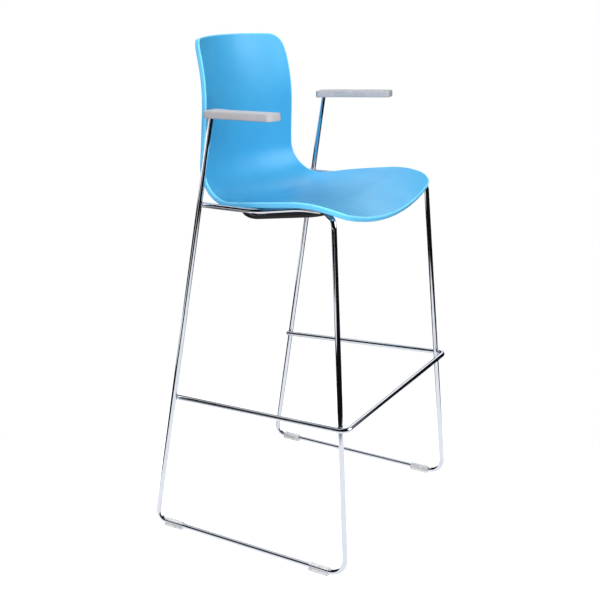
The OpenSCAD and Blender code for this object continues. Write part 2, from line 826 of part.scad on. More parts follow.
module bracket_plan(grow) {
    w = bracket_w / 2 + grow;
    front_r = min(4 + grow, w);
    rear_r = min(8 + grow, w - 0.5);
    polygon(outline([
        [w, -bracket_l - grow, front_r], [w, bracket_tail + grow, rear_r],
        [-w, bracket_tail + grow, rear_r], [-w, -bracket_l - grow, front_r]
    ]));
}

module arm_bracket() {
    difference() {
        translate([0, 0, bracket_h])
            linear_extrude(bracket_t)
                bracket_plan(0);
        for (reach = arm_screw_reaches)
            translate([0, -reach, bracket_h]) {
                translate([0, 0, -eps])
                    cylinder(h = bracket_t + 2 * eps, d = arm_screw_d + 2 * hole_gap, $fn = fine_fn);
                translate([0, 0, -eps])
                    cylinder(
                        h = arm_head_h + eps,
                        d1 = arm_head_d + 2 * hole_gap,
                        d2 = arm_screw_d + 2 * hole_gap,
                        $fn = fine_fn
                    );
            }
    }
}

module left_arm_bracket() {
    color([0.72, 0.73, 0.75])
        on_left_arm()
            arm_bracket();
}

module right_arm_bracket() {
    color([0.72, 0.73, 0.75])
        on_right_arm()
            arm_bracket();
}

lobe_front = 1;
lobe_run = 34;
pad_foot_r = 2.5;
pad_corners = [
    [pad_w / 2, -pad_l, 10],
    [pad_w / 2, pad_tail - 4.5, 11],
    [-pad_w / 2 - lobe_w, pad_tail, 8],
    [-pad_w / 2 - lobe_w, -lobe_front, 14],
    [-pad_w / 2, -lobe_front - lobe_run, 18],
    [-pad_w / 2, -pad_l, 6]
];
// Rows of the pad's edge, as [set-in, height]
pad_rows = concat(
    [for (a = [0 : 30 : 90]) [pad_foot_r * (1 - sin(a)), pad_foot_r * (1 - cos(a))]],
    [for (a = [0 : 22.5 : 90]) [pad_edge_r * (1 - cos(a)), pad_t - pad_edge_r * (1 - sin(a))]]
);

module arm_pad() {
    difference() {
        skin(
            [for (row = pad_rows) lift(outline(inset(pad_corners, row[0]), 7), row[1])],
            [lobe_w, -12, 0]
        );
        translate([0, 0, -1])
            linear_extrude(1 + bracket_h + bracket_t + recess_gap)
                bracket_plan(recess_gap);
        for (reach = arm_screw_reaches)
            translate([0, -reach, 0])
                cylinder(h = bracket_h + arm_screw_l + recess_gap, d = arm_screw_d + 2 * fit_gap, $fn = fine_fn);
    }
}

module left_arm_pad() {
    color([0.62, 0.63, 0.67])
        on_left_arm()
            arm_pad();
}

module right_arm_pad() {
    color([0.62, 0.63, 0.67])
        on_right_arm()
            arm_pad();
}

module arm_screw_pair() {
    for (reach = arm_screw_reaches)
        translate([0, -reach, bracket_h]) {
            cylinder(h = arm_screw_l, d = arm_screw_d, $fn = fine_fn);
            difference() {
                cylinder(h = arm_head_h, d1 = arm_head_d, d2 = arm_screw_d, $fn = fine_fn);
                translate([0, 0, -eps])
                    cylinder(h = arm_head_h * 0.7, d = arm_screw_d * 0.5, $fn = 6);
            }
        }
}

module arm_pad_screws() {
    color([0.6, 0.61, 0.63]) {
        on_left_arm()
            arm_screw_pair();
        on_right_arm()
            arm_screw_pair();
    }
}

// Glides: clear plastic clips pressed onto the runners from the inner side

glide_r = rod_r + fit_gap + glide_wall;
glide_foot_w = 2 * glide_r;
glide_end_cut = 30;

module glide() {
    rotate([90, 0, 0])
        difference() {
            translate([0, 0, -glide_l / 2])
                linear_extrude(glide_l)
                    union() {
                        translate([0, runner_z])
                            circle(r = glide_r, $fn = fine_fn);
                        polygon([
                            [-glide_foot_w / 2 + 1, 0], [glide_foot_w / 2 - 1, 0],
                            [glide_foot_w / 2, 1], [glide_foot_w / 2, runner_z],
                            [-glide_foot_w / 2, runner_z], [-glide_foot_w / 2, 1]
                        ]);
                    }
            translate([0, runner_z, -glide_l])
                cylinder(h = 2 * glide_l, r = rod_r + fit_gap, $fn = fine_fn);
            translate([0, runner_z - glide_slot / 2 + 2, -glide_l])
                cube([2 * glide_r, glide_slot, 2 * glide_l]);
            for (end = [-1, 1])
                translate([0, runner_z + rod_r * 0.2, end * glide_l / 2])
                    rotate([end * glide_end_cut, 0, 0])
                        translate([-2 * glide_r, 0, end > 0 ? 0 : -glide_l])
                            cube([4 * glide_r, 2 * glide_r, glide_l]);
        }
}

rear_glide_y = base_l / 2 - rear_glide_inset;
front_glide_y = front_glide_inset - base_l / 2;

module left_glide(y) {
    color([0.86, 0.89, 0.92, 0.7])
        translate([base_w / 2, y, 0])
            glide();
}

module right_glide(y) {
    color([0.86, 0.89, 0.92, 0.7])
        translate([-base_w / 2, y, 0])
            mirror([1, 0, 0])
                glide();
}

module rear_left_glide() {
    left_glide(rear_glide_y);
}

module rear_right_glide() {
    right_glide(rear_glide_y);
}

module front_left_glide() {
    left_glide(front_glide_y);
}

module front_right_glide() {
    right_glide(front_glide_y);
}

left_side_frame();
right_side_frame();
footrest();
front_cross_plate();
rear_cross_plate();
shell();
seat_inserts();
seat_screws();
seat_washers();
under_seat_pan();
pan_screws();
left_arm_bracket();
right_arm_bracket();
left_arm_pad();
right_arm_pad();
arm_pad_screws();
rear_left_glide();
rear_right_glide();
front_left_glide();
front_right_glide();
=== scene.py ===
"""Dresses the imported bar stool: bent chrome frame, moulded shell, arm pads, pan and glides.

The stool's classes hold millimetres; its meshes, the finishes and the studio are in metres.
X runs across the stool, Y from the front (minus) to the back (plus) and Z up, and left and
right are the sitter's.
"""

from __future__ import annotations

import functools
import json
import logging
import math
from dataclasses import dataclass
from enum import Enum
from typing import Any, Callable, Iterable, Sequence

import bmesh
import bpy
from mathutils import Euler, Matrix, Vector

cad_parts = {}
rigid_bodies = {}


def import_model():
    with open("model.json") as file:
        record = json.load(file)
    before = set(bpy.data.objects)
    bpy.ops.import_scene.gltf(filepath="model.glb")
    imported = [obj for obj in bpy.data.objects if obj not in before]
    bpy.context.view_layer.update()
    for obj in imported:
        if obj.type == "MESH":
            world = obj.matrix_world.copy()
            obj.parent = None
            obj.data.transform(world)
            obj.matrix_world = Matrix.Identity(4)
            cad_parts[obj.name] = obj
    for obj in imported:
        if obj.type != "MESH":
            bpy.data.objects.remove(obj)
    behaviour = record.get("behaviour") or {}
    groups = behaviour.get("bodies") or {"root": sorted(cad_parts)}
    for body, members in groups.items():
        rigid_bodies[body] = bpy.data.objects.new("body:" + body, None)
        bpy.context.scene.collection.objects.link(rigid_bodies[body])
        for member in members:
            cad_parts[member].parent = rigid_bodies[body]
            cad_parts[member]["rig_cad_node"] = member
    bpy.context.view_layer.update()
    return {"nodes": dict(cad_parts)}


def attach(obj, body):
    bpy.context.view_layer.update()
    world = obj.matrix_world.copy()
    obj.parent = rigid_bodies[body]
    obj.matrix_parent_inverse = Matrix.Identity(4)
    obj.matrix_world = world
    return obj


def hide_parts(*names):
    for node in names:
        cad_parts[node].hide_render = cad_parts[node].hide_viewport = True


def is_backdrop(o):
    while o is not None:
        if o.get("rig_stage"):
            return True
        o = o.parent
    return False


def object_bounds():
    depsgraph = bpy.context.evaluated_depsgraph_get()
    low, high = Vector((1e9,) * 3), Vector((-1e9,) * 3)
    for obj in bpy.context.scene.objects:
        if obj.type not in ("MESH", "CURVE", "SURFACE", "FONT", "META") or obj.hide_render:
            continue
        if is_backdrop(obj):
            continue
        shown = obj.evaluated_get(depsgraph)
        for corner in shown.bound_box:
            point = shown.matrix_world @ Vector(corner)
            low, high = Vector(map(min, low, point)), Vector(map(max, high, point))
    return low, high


LOG = logging.getLogger("stool")
MM = 0.001
BODY = "root"

# attributes that a mesh hands to a material or a geometry tree
# share of the painted light on the shell's rim, with a painted highlight on its rounded edge
PAINTED_RIM_LIGHT = "thin_edge"
BEND_RADIUS = "bend_radius"
TURN = "turn"

WHITE = (1.0, 1.0, 1.0, 1.0)
DUST_COLOR = (0.42, 0.40, 0.37, 1.0)
SCATTER_RADIUS = (0.004, 0.006, 0.008)
BUMP_STRENGTH = 0.6
DUST_ROUGHENS = 0.5
SCUFF_ROUGHENS = 2.0

# the shared effects; levels are those of the noise between which a mask rises
GRIT_SHARE = 0.6
CLOUD_LEVELS = (0.3, 0.7)
RUB_TURNS = ((0.5, 0.3, 0.85), (-0.9, -0.54, -1.53))
RUB_STRETCHES = ((1.0, 9.0, 5.0), (7.0, 1.0, 11.0))
RUB_LEVELS = (0.62, 0.72)
DUST_SCALE = 260.0
DUST_LEVELS = (0.4, 0.75)

Triple = tuple[float, float, float]
Flat = tuple[float, float]
Settings = dict[str, Any]
Inputs = dict[Any, Any]
Sockets = bpy.types.bpy_prop_collection
Path = list[tuple[Vector, float]]
Spots = list[tuple[Vector, Triple]]


class Side(Enum):
    """The two sides of the stool, with the sign of X on each."""

    LEFT = 1
    RIGHT = -1

    @property
    def word(self) -> str:
        """Lower-case name of the side."""
        return self.name.lower()


class Slot(Enum):
    """Material slots of the record."""

    CHROME = "chrome"
    SHELL = "blue_shell"
    PAD = "grey_pad"
    PAN = "black_plastic"
    GLIDE = "clear_glide"
    ZINC = "zinc_steel"
    BLACK_STEEL = "black_steel"
    BRASS = "brass"


# ---- node helpers


class Graph:
    """Adds nodes to a tree and joins them."""

    column: int = 180
    row: int = 220
    per_row: int = 12

    def __init__(self, tree: bpy.types.NodeTree) -> None:
        """Takes the node tree to fill."""
        self.tree = tree

    def add(
        self, kind: str, inputs: Inputs | None = None, settings: Settings | None = None
    ) -> bpy.types.Node:
        """Adds one node.

        Args:
            kind: Blender's node type.
            inputs: value or output socket for each named or numbered input.
            settings: node properties to set first.

        Returns:
            The new node.
        """
        node = self.tree.nodes.new(kind)
        down, across = divmod(len(self.tree.nodes), self.per_row)
        node.location = (self.column * across, -self.row * down)
        for key, value in (settings or {}).items():
            setattr(node, key, value)
        for key, value in (inputs or {}).items():
            if isinstance(value, bpy.types.NodeSocket):
                self.tree.links.new(value, node.inputs[key])
            else:
                node.inputs[key].default_value = value
        return node

    def out(
        self, kind: str, inputs: Inputs | None = None, settings: Settings | None = None
    ) -> bpy.types.NodeSocket:
        """Adds one node, as add does, and gives its first output."""
        return self.add(kind, inputs, settings).outputs[0]

    def group(self, tree: bpy.types.NodeTree, inputs: Inputs) -> Sockets:
        """Adds a shared shader group and gives its outputs."""
        return self.add("ShaderNodeGroup", inputs, {"node_tree": tree}).outputs

    def place(self) -> bpy.types.NodeSocket:
        """Adds the object's own coordinates."""
        return self.add("ShaderNodeTexCoord").outputs["Object"]

    def math(self, operation: str, *terms: Any) -> bpy.types.NodeSocket:
        """Adds a Math node on values or sockets."""
        return self.out("ShaderNodeMath", dict(enumerate(terms)), {"operation": operation})

    def most(self, *levels: Any) -> bpy.types.NodeSocket:
        """Gives the largest of several values or sockets."""
        return functools.reduce(lambda a, b: self.math("MAXIMUM", a, b), levels)

    def measure(self, operation: str, *terms: Any) -> bpy.types.NodeSocket:
        """Adds a Vector Math node whose result is a number."""
        node = self.add("ShaderNodeVectorMath", dict(enumerate(terms)), {"operation": operation})
        return node.outputs["Value"]

    def ramp(
        self, value: Any, low: float, high: float, start: float = 0.0, end: float = 1.0
    ) -> bpy.types.NodeSocket:
        """Eases from start, at low and below, to end, at high and above."""
        inputs = {0: value, 1: low, 2: high, 3: start, 4: end}
        return self.out("ShaderNodeMapRange", inputs, {"interpolation_type": "SMOOTHSTEP"})

    def blend(self, share: Any, a: Any, b: Any) -> bpy.types.NodeSocket:
        """Mixes a share of colour b into colour a."""
        return self.add("ShaderNodeMix", {0: share, 6: a, 7: b}, {"data_type": "RGBA"}).outputs[2]


def empty_graph(block: bpy.types.Material | bpy.types.World) -> Graph:
    """Empties a material's or the world's node tree.

    Args:
        block: the material or the world.

    Returns:
        A graph round its tree.
    """
    block.use_nodes = True
    block.node_tree.nodes.clear()
    return Graph(block.node_tree)


def new_group(
    name: str, kind: str, ins: dict[str, tuple[str, Any]], outs: dict[str, str]
) -> Graph:
    """Starts a node group with named sockets.

    Args:
        name: the group's name.
        kind: ShaderNodeTree or GeometryNodeTree.
        ins: socket type and default for each input name.
        outs: socket type for each output name.

    Returns:
        A graph round the group.
    """
    tree = bpy.data.node_groups.new(name, kind)
    for title, (socket, default) in ins.items():
        made = tree.interface.new_socket(name=title, in_out="INPUT", socket_type=socket)
        if default is not None:
            made.default_value = default
    for title, socket in outs.items():
        tree.interface.new_socket(name=title, in_out="OUTPUT", socket_type=socket)
    return Graph(tree)


# ---- shader groups that several finishes share


def mask_group(name: str, ins: dict[str, float], *outs: str) -> tuple[Graph, Sockets]:
    """Starts a shader group of plain numbers.

    Args:
        name: the group's name.
        ins: default for each input name.
        outs: the outputs' names.

    Returns:
        A graph round the group, and the sockets of its inputs.
    """
    number = "NodeSocketFloat"
    sockets = {title: (number, default) for title, default in ins.items()}
    graph = new_group(name, "ShaderNodeTree", sockets, {title: number for title in outs})
    return graph, graph.add("NodeGroupInput").outputs


def moulded_grain_group() -> bpy.types.NodeTree:
    """Builds the fine spark-eroded texture of a moulded plastic face.

    Returns:
        A group with outputs Height and Mottle.
    """
    sizes = {"Grain Size": 0.0006, "Mottle Size": 0.05}
    graph, source = mask_group("moulded_grain", sizes, "Height", "Mottle")
    place = graph.place()
    fine = graph.math("DIVIDE", 1.0, source["Grain Size"])
    wide = graph.math("DIVIDE", 1.0, source["Mottle Size"])
    cells = graph.out("ShaderNodeTexVoronoi", {"Vector": place, "Scale": fine, "Randomness": 1.0})
    grit = graph.out("ShaderNodeTexNoise", {"Vector": place, "Scale": fine, "Detail": 2.0})
    cloud = graph.out(
        "ShaderNodeTexNoise", {"Vector": place, "Scale": wide, "Detail": 3.0, "Roughness": 0.6}
    )
    height = graph.math("MULTIPLY_ADD", grit, GRIT_SHARE, cells)
    graph.add("NodeGroupOutput", {"Height": height, "Mottle": graph.ramp(cloud, *CLOUD_LEVELS)})
    return graph.tree


def rub_marks_group() -> bpy.types.NodeTree:
    """Builds a mask of short fine rub marks in two directions.

    Returns:
        A group with output Mask.
    """
    graph, source = mask_group("rub_marks", {"Mark Size": 0.004, "Cover": 0.3}, "Mask")
    place = graph.place()
    scale = graph.math("DIVIDE", 1.0, source["Mark Size"])
    masks = []
    for turn, stretch in zip(RUB_TURNS, RUB_STRETCHES):
        run = graph.out(
            "ShaderNodeMapping", {"Vector": place, "Rotation": turn, "Scale": stretch}
        )
        streaks = graph.out("ShaderNodeTexNoise", {"Vector": run, "Scale": scale, "Detail": 2.0})
        masks.append(graph.ramp(streaks, *RUB_LEVELS))
    mask = graph.math("MULTIPLY", graph.most(*masks), source["Cover"])
    graph.add("NodeGroupOutput", {"Mask": mask})
    return graph.tree


def floor_dust_group() -> bpy.types.NodeTree:
    """Builds a mask of dust that thins out above the floor.

    Returns:
        A group with output Mask.
    """
    graph, source = mask_group("floor_dust", {"Reach": 0.05, "Cover": 0.3}, "Mask")
    place = graph.place()
    height = graph.add("ShaderNodeSeparateXYZ", {0: place}).outputs["Z"]
    low = graph.math("SUBTRACT", 1.0, graph.math("DIVIDE", height, source["Reach"]))
    noise = graph.out("ShaderNodeTexNoise", {"Vector": place, "Scale": DUST_SCALE, "Detail": 4.0})
    dust = graph.math("MULTIPLY", graph.most(low, 0.0), graph.ramp(noise, *DUST_LEVELS))
    graph.add("NodeGroupOutput", {"Mask": graph.math("MULTIPLY", dust, source["Cover"])})
    return graph.tree


# ---- finishes


@dataclass(frozen=True)
class Finish:
    """A surface finish: its colours, and how rough, grainy, rubbed and dusty it is."""

    name: str
    slot: Slot
    color: Triple
    shade: Triple  # the colour where the mottle is full
    roughness: float
    spread: float  # roughness that the mottle adds
    grain: float  # size of the moulded grain
    depth: float  # height of the grain
    mottle: float  # size of the mottle's clouds
    scuff: float  # strength of the rub marks
    scuff_size: float
    dust: float = 0.0  # strength of the dust at the floor
    metallic: float = 0.0
    specular: float = 0.5
    transmission: float = 0.0
    subsurface: float = 0.0
    sheen: float = 0.0
    thin_edge: Triple | None = None  # colour of the painted light and painted highlight on the shell's rim

    def build(self, groups: dict[str, bpy.types.NodeTree]) -> bpy.types.Material:
        """Builds the material.

        Args:
            groups: the shared shader groups by name.

        Returns:
            The material.
        """
        material = bpy.data.materials.new(self.name)
        graph = empty_graph(material)
        grain = graph.group(
            groups["moulded_grain"], {"Grain Size": self.grain, "Mottle Size": self.mottle}
        )
        marks = graph.group(
            groups["rub_marks"], {"Mark Size": self.scuff_size, "Cover": self.scuff}
        )
        mottle = grain["Mottle"]
        color = graph.blend(mottle, (*self.color, 1.0), (*self.shade, 1.0))
        rough = graph.ramp(mottle, 0.0, 1.0, self.roughness, self.roughness + self.spread)
        rubbed = self.spread * SCUFF_ROUGHENS
        rough = graph.math("MULTIPLY_ADD", marks["Mask"], rubbed, rough)
        if self.dust:
            dust = graph.group(groups["floor_dust"], {"Cover": self.dust})["Mask"]
            color = graph.blend(dust, color, DUST_COLOR)
            rough = graph.math("MULTIPLY_ADD", dust, DUST_ROUGHENS, rough)
        # paints the rim lighter, with a painted highlight along its rounded edge
        if self.thin_edge:
            edge = graph.add("ShaderNodeAttribute", {}, {"attribute_name": PAINTED_RIM_LIGHT})
            color = graph.blend(edge.outputs["Fac"], color, (*self.thin_edge, 1.0))
        inputs = {
            "Base Color": color,
            "Roughness": rough,
            "Metallic": self.metallic,
            "Specular IOR Level": self.specular,
            "Transmission Weight": self.transmission,
            "Subsurface Weight": self.subsurface,
            "Subsurface Radius": SCATTER_RADIUS,
            "Sheen Weight": self.sheen,
        }
        if self.depth:
            inputs["Normal"] = graph.out(
                "ShaderNodeBump",
                {"Strength": BUMP_STRENGTH, "Distance": self.depth, "Height": grain["Height"]},
            )
        surface = graph.out("ShaderNodeBsdfPrincipled", inputs)
        graph.add("ShaderNodeOutputMaterial", {"Surface": surface})
        return material


class Look(Enum):
    """The finishes of the stool's parts."""

    SHELL = Finish(
        "blue_polypropylene", Slot.SHELL, (0.062, 0.400, 0.715), (0.054, 0.376, 0.685),
        roughness=0.34, spread=0.06, grain=0.0007, depth=0.00004, mottle=0.09,
        # the last colour is the rim's painted light and painted highlight
        scuff=0.25, scuff_size=0.006, subsurface=0.05, thin_edge=(0.20, 0.66, 0.98),
    )
    CHROME = Finish(
        "chrome_plate", Slot.CHROME, (0.81, 0.85, 0.93), (0.76, 0.80, 0.89),
        roughness=0.035, spread=0.03, grain=0.003, depth=0.000003, mottle=0.03,
        scuff=0.35, scuff_size=0.003, dust=0.08, metallic=1.0,
    )
    WELD = Finish(
        "weld_chrome", Slot.CHROME, (0.72, 0.72, 0.74), (0.55, 0.56, 0.58),
        roughness=0.14, spread=0.12, grain=0.0009, depth=0.00006, mottle=0.004,
        scuff=0.4, scuff_size=0.002, metallic=1.0,
    )
    PAD = Finish(
        "grey_pad_plastic", Slot.PAD, (0.405, 0.400, 0.425), (0.375, 0.370, 0.395),
        roughness=0.42, spread=0.10, grain=0.0008, depth=0.00005, mottle=0.02,
        scuff=0.35, scuff_size=0.005, specular=0.45, sheen=0.1,
    )
    PAN = Finish(
        "black_pan_plastic", Slot.PAN, (0.010, 0.010, 0.011), (0.014, 0.014, 0.015),
        roughness=0.45, spread=0.12, grain=0.0009, depth=0.00008, mottle=0.03,
        scuff=0.4, scuff_size=0.005, specular=0.3,
    )
    GLIDE = Finish(
        "clear_glide_plastic", Slot.GLIDE, (0.80, 0.80, 0.81), (0.75, 0.75, 0.77),
        roughness=0.20, spread=0.08, grain=0.0012, depth=0.000004, mottle=0.012,
        scuff=0.3, scuff_size=0.003, specular=0.35, transmission=0.55,
    )
    ZINC = Finish(
        "zinc_steel", Slot.ZINC, (0.56, 0.57, 0.59), (0.48, 0.49, 0.52),
        roughness=0.24, spread=0.12, grain=0.0006, depth=0.00001, mottle=0.004,
        scuff=0.5, scuff_size=0.001, metallic=1.0,
    )
    BLACK_STEEL = Finish(
        "black_screw_steel", Slot.BLACK_STEEL, (0.035, 0.035, 0.037), (0.05, 0.05, 0.052),
        roughness=0.3, spread=0.14, grain=0.0006, depth=0.00001, mottle=0.004,
        scuff=0.5, scuff_size=0.001, metallic=0.6,
    )
    BRASS = Finish(
        "insert_brass", Slot.BRASS, (0.58, 0.40, 0.13), (0.50, 0.34, 0.11),
        roughness=0.28, spread=0.14, grain=0.0006, depth=0.00001, mottle=0.004,
        scuff=0.4, scuff_size=0.001, metallic=1.0,
    )


class Workshop:
    """Keeps the built materials and geometry trees, and turns meshes into riding pieces."""

    merge_gap: float = 0.01
    flat_angle: float = 0.5
    smooth_angle: float = 32.0
    bevel_angle: float = 40.0
    bevel_steps: int = 3

    def __init__(self) -> None:
        """Builds the shared groups and every finish."""
        groups = {
            "moulded_grain": moulded_grain_group(),
            "rub_marks": rub_marks_group(),
            "floor_dust": floor_dust_group(),
        }
        self.materials = {look: look.value.build(groups) for look in Look}
        self.rod_tree, self.bead_tree, self.screw_tree = rod_tree(), bead_tree(), screw_tree()

    def piece(
        self, name: str, mesh: bpy.types.Mesh, look: Look, *nodes: str
    ) -> bpy.types.Object:
        """Makes a mesh a piece of the stool.

        Args:
            name: the piece's name.
            mesh: its mesh, in metres and in place.
            look: its finish.
            nodes: the CAD nodes that it stands for.

        Returns:
            The piece's object.
        """
        mesh.name = name
        mesh.materials.clear()
        mesh.materials.append(self.materials[look])
        made = new_object(name, mesh)
        if nodes:
            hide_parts(*nodes)
        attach(made, BODY)
        LOG.info("%s: %d faces, %s", name, len(mesh.polygons), look.value.name)
        return made

    def grow(
        self, tree: bpy.types.NodeTree, mesh: bpy.types.Mesh, look: Look, inputs: Settings
    ) -> bpy.types.Mesh:
        """Runs a geometry tree on a mesh.

        Args:
            tree: the tree.
            mesh: the input mesh.
            look: the finish that the tree sets.
            inputs: value for each named input of the tree.

        Returns:
            The resulting plain mesh.
        """
        carrier = new_object("carrier", mesh)
        modifier = carrier.modifiers.new("grow", "NODES")
        modifier.node_group = tree
        values = {**inputs, "Material": self.materials[look]}
        for item in tree.interface.items_tree:
            if item.item_type == "SOCKET" and item.in_out == "INPUT" and item.name in values:
                modifier[item.identifier] = values[item.name]
        graph = bpy.context.evaluated_depsgraph_get()
        result = bpy.data.meshes.new_from_object(
            carrier.evaluated_get(graph), preserve_all_data_layers=True, depsgraph=graph
        )
        carrier.modifiers.remove(modifier)
        bpy.data.objects.remove(carrier)
        return result

    def dressed_copy(
        self, node: bpy.types.Object, name: str, look: Look, bevel: float
    ) -> bpy.types.Object:
        """Makes a smooth-shaded copy of a CAD node and puts it in the node's place.

        Args:
            node: the CAD node's object.
            name: the piece's name.
            look: its finish.
            bevel: width of the rounded edges in millimetres.

        Returns:
            The piece's object.
        """
        work = bmesh.new()
        work.from_mesh(node.data)
        bmesh.ops.remove_doubles(work, verts=work.verts, dist=self.merge_gap * MM)
        flat = math.radians(self.flat_angle)
        bmesh.ops.dissolve_limit(work, angle_limit=flat, verts=work.verts, edges=work.edges)
        mesh = finished(work, name, self.smooth_angle)
        made = self.piece(name, mesh, look, node["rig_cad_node"])
        rounded = made.modifiers.new("edges", "BEVEL")
        rounded.width = bevel * MM
        rounded.segments = self.bevel_steps
        rounded.limit_method = "ANGLE"
        rounded.angle_limit = math.radians(self.bevel_angle)
        rounded.harden_normals = True
        return made


# ---- object and mesh helpers


def new_object(name: str, data: Any) -> bpy.types.Object:
    """Adds an object to the scene.

    Args:
        name: its name.
        data: its mesh, lamp or camera.

    Returns:
        The object, at the origin.
    """
    made = bpy.data.objects.new(name, data)
    bpy.context.scene.collection.objects.link(made)
    return made


def smooth(mesh: bpy.types.Mesh, angle: float = 180.0) -> None:
    """Shades a mesh smooth, with edges sharper than the angle kept sharp.

    Args:
        mesh: the mesh.
        angle: the angle in degrees.
    """
    mesh.polygons.foreach_set("use_smooth", [True] * len(mesh.polygons))
    if angle < 180.0:
        mesh.set_sharp_from_angle(angle=math.radians(angle))
    mesh.update()


def finished(work: bmesh.types.BMesh, name: str, angle: float = 180.0) -> bpy.types.Mesh:
    """Turns a mesh under construction into a smooth-shaded mesh.

    Args:
        work: the mesh under construction, which is freed.
        name: the mesh's name.
        angle: the angle in degrees above which an edge stays sharp.

    Returns:
        The mesh.
    """
    mesh = bpy.data.meshes.new(name)
    work.to_mesh(mesh)
    work.free()
    smooth(mesh, angle)
    return mesh


def mesh_of(
    name: str,
    points: Iterable[Vector],
    faces: Sequence[Sequence[int]] = (),
    edges: Sequence[tuple[int, int]] = (),
) -> bpy.types.Mesh:
    """Makes a mesh from points in millimetres.

    Args:
        name: the mesh's name.
        points: its points.
        faces: its faces, counterclockwise from outside.
        edges: its loose edges.

    Returns:
        The mesh in metres.
    """
    mesh = bpy.data.meshes.new(name)
    mesh.from_pydata([tuple(p * MM) for p in points], edges, faces)
    mesh.validate()
    return mesh


def wire_of(
    name: str, chains: Iterable[Sequence[Vector]], closed: bool = False
) -> bpy.types.Mesh:
    """Makes a mesh of edges only, from points in millimetres.

    Args:
        name: the mesh's name.
        chains: lists of points, each joined in order.
        closed: whether each chain returns to its start.

    Returns:
        The wire mesh in metres.
    """
    points: list[Vector] = []
    edges: list[tuple[int, int]] = []
    for chain in chains:
        start, last = len(points), len(points) + len(chain) - 1
        points.extend(chain)
        edges.extend((i, i + 1) for i in range(start, last))
        if closed:
            edges.append((last, start))
    return mesh_of(name, points, edges=edges)


def joined(
    meshes: Iterable[bpy.types.Mesh], name: str, angle: float = 180.0
) -> bpy.types.Mesh:
    """Joins meshes into one.

    Args:
        meshes: the meshes.
        name: the new mesh's name.
        angle: the angle in degrees above which an edge stays sharp.

    Returns:
        One smooth-shaded mesh with all their faces.
    """
    work = bmesh.new()
    for mesh in meshes:
        work.from_mesh(mesh)
    return finished(work, name, angle)


def ring_faces(count: int, start: int) -> list[tuple[int, ...]]:
    """Lays quads between two rings of points that follow each other.

    Args:
        count: points in a ring.
        start: first point of the lower ring.

    Returns:
        The quads, outwards where the ring runs counterclockwise and the next one is above.
    """
    pairs = ((start + i, start + (i + 1) % count) for i in range(count))
    return [(a, b, b + count, a + count) for a, b in pairs]


def lathe(
    profile: Sequence[Flat], steps: int, factor: Callable[[float, int], float] | None = None
) -> tuple[list[Vector], list[tuple[int, ...]]]:
    """Turns a profile round the Z axis and closes both ends.

    Args:
        profile: [radius, height] pairs, from the bottom up.
        steps: points in a turn.
        factor: factor on the radius for an angle and a ring's number.

    Returns:
        Points and outward faces.
    """
    points: list[Vector] = []
    for j, (radius, z) in enumerate(profile):
        for i in range(steps):
            a = 2 * math.pi * i / steps
            r = radius * (factor(a, j) if factor else 1.0)
            points.append(Vector((r * math.cos(a), r * math.sin(a), z)))
    last = len(points) - steps
    faces = [face for start in range(0, last, steps) for face in ring_faces(steps, start)]
    faces.append(tuple(reversed(range(steps))))
    faces.append(tuple(range(last, last + steps)))
    return points, faces


def along(a: Vector, b: Vector, z: float) -> Vector:
    """Point at height z on the line from a to b."""
    return a.lerp(b, (z - a.z) / (b.z - a.z))


def mirrored(p: Vector) -> Vector:
    """Point on the other side of the stool."""
    return Vector((-p.x, p.y, p.z))


def quarter(steps: int) -> list[float]:
    """Angles from nothing to a right angle."""
    return [math.pi / 2 * i / steps for i in range(steps + 1)]


@dataclass(frozen=True)
class Outline:
    """A closed outline whose corners are [x, y, radius], counterclockwise."""

    corners: tuple[Triple, ...]
    least_r: float = 0.3

    def leg(self, i: int) -> Vector:
        """Direction of the side that runs in to corner i."""
        a, b = self.corners[i - 1], self.corners[i % len(self.corners)]
        return Vector((b[0] - a[0], b[1] - a[1])).normalized()

    def turn(self, i: int) -> float:
        """Turn at corner i, in radians, to the left."""
        into, out = self.leg(i), self.leg(i + 1)
        return math.atan2(into.x * out.y - into.y * out.x, into.dot(out))

    def inset(self, d: float) -> Outline:
        """Moves every side in.

        Args:
            d: distance in millimetres.

        Returns:
            The smaller outline, its rounds concentric.
        """
        made = []
        for i, (x, y, r) in enumerate(self.corners):
            into, turn = self.leg(i), self.turn(i)
            shift = Vector((-into.y, into.x)) - into * math.tan(turn / 2)
            radius = r - d * math.copysign(1.0, turn)
            made.append((x + d * shift.x, y + d * shift.y, max(radius, self.least_r)))
        return Outline(tuple(made))

    def points(self, steps: int) -> list[Vector]:
        """Walks the outline.

        Args:
            steps: steps in each round corner.

        Returns:
            The points, at height 0.
        """
        made = []
        for i, (x, y, r) in enumerate(self.corners):
            into, turn = self.leg(i), self.turn(i)
            left = Vector((-into.y, into.x))
            signed = math.copysign(r, turn)
            start = Vector((x, y)) - into * signed * math.tan(turn / 2)
            centre = start + signed * left
            for k in range(steps + 1):
                a = turn * k / steps
                at = centre + signed * (into * math.sin(a) - left * math.cos(a))
                made.append(at.to_3d())
        return made


# ---- geometry trees


def start_tree(name: str, ins: dict[str, tuple[str, Any]]) -> tuple[Graph, Sockets]:
    """Starts a geometry tree.

    Args:
        name: the tree's name.
        ins: socket type and default for each input besides the geometry and the material.

    Returns:
        A graph round the tree, and the sockets of its inputs.
    """
    geometry = {"Geometry": ("NodeSocketGeometry", None)}
    sockets = {**geometry, **ins, "Material": ("NodeSocketMaterial", None)}
    graph = new_group(name, "GeometryNodeTree", sockets, {"Geometry": "NodeSocketGeometry"})
    return graph, graph.add("NodeGroupInput").outputs


def end_tree(
    graph: Graph, source: Sockets, made: bpy.types.NodeSocket
) -> bpy.types.NodeTree:
    """Ends a geometry tree with real geometry in its material.

    Args:
        graph: the graph round the tree.
        source: the sockets of its inputs.
        made: the geometry's socket.

    Returns:
        The finished tree.
    """
    real = graph.out("GeometryNodeRealizeInstances", {0: made})
    painted = graph.out("GeometryNodeSetMaterial", {0: real, "Material": source["Material"]})
    graph.add("NodeGroupOutput", {0: painted})
    return graph.tree


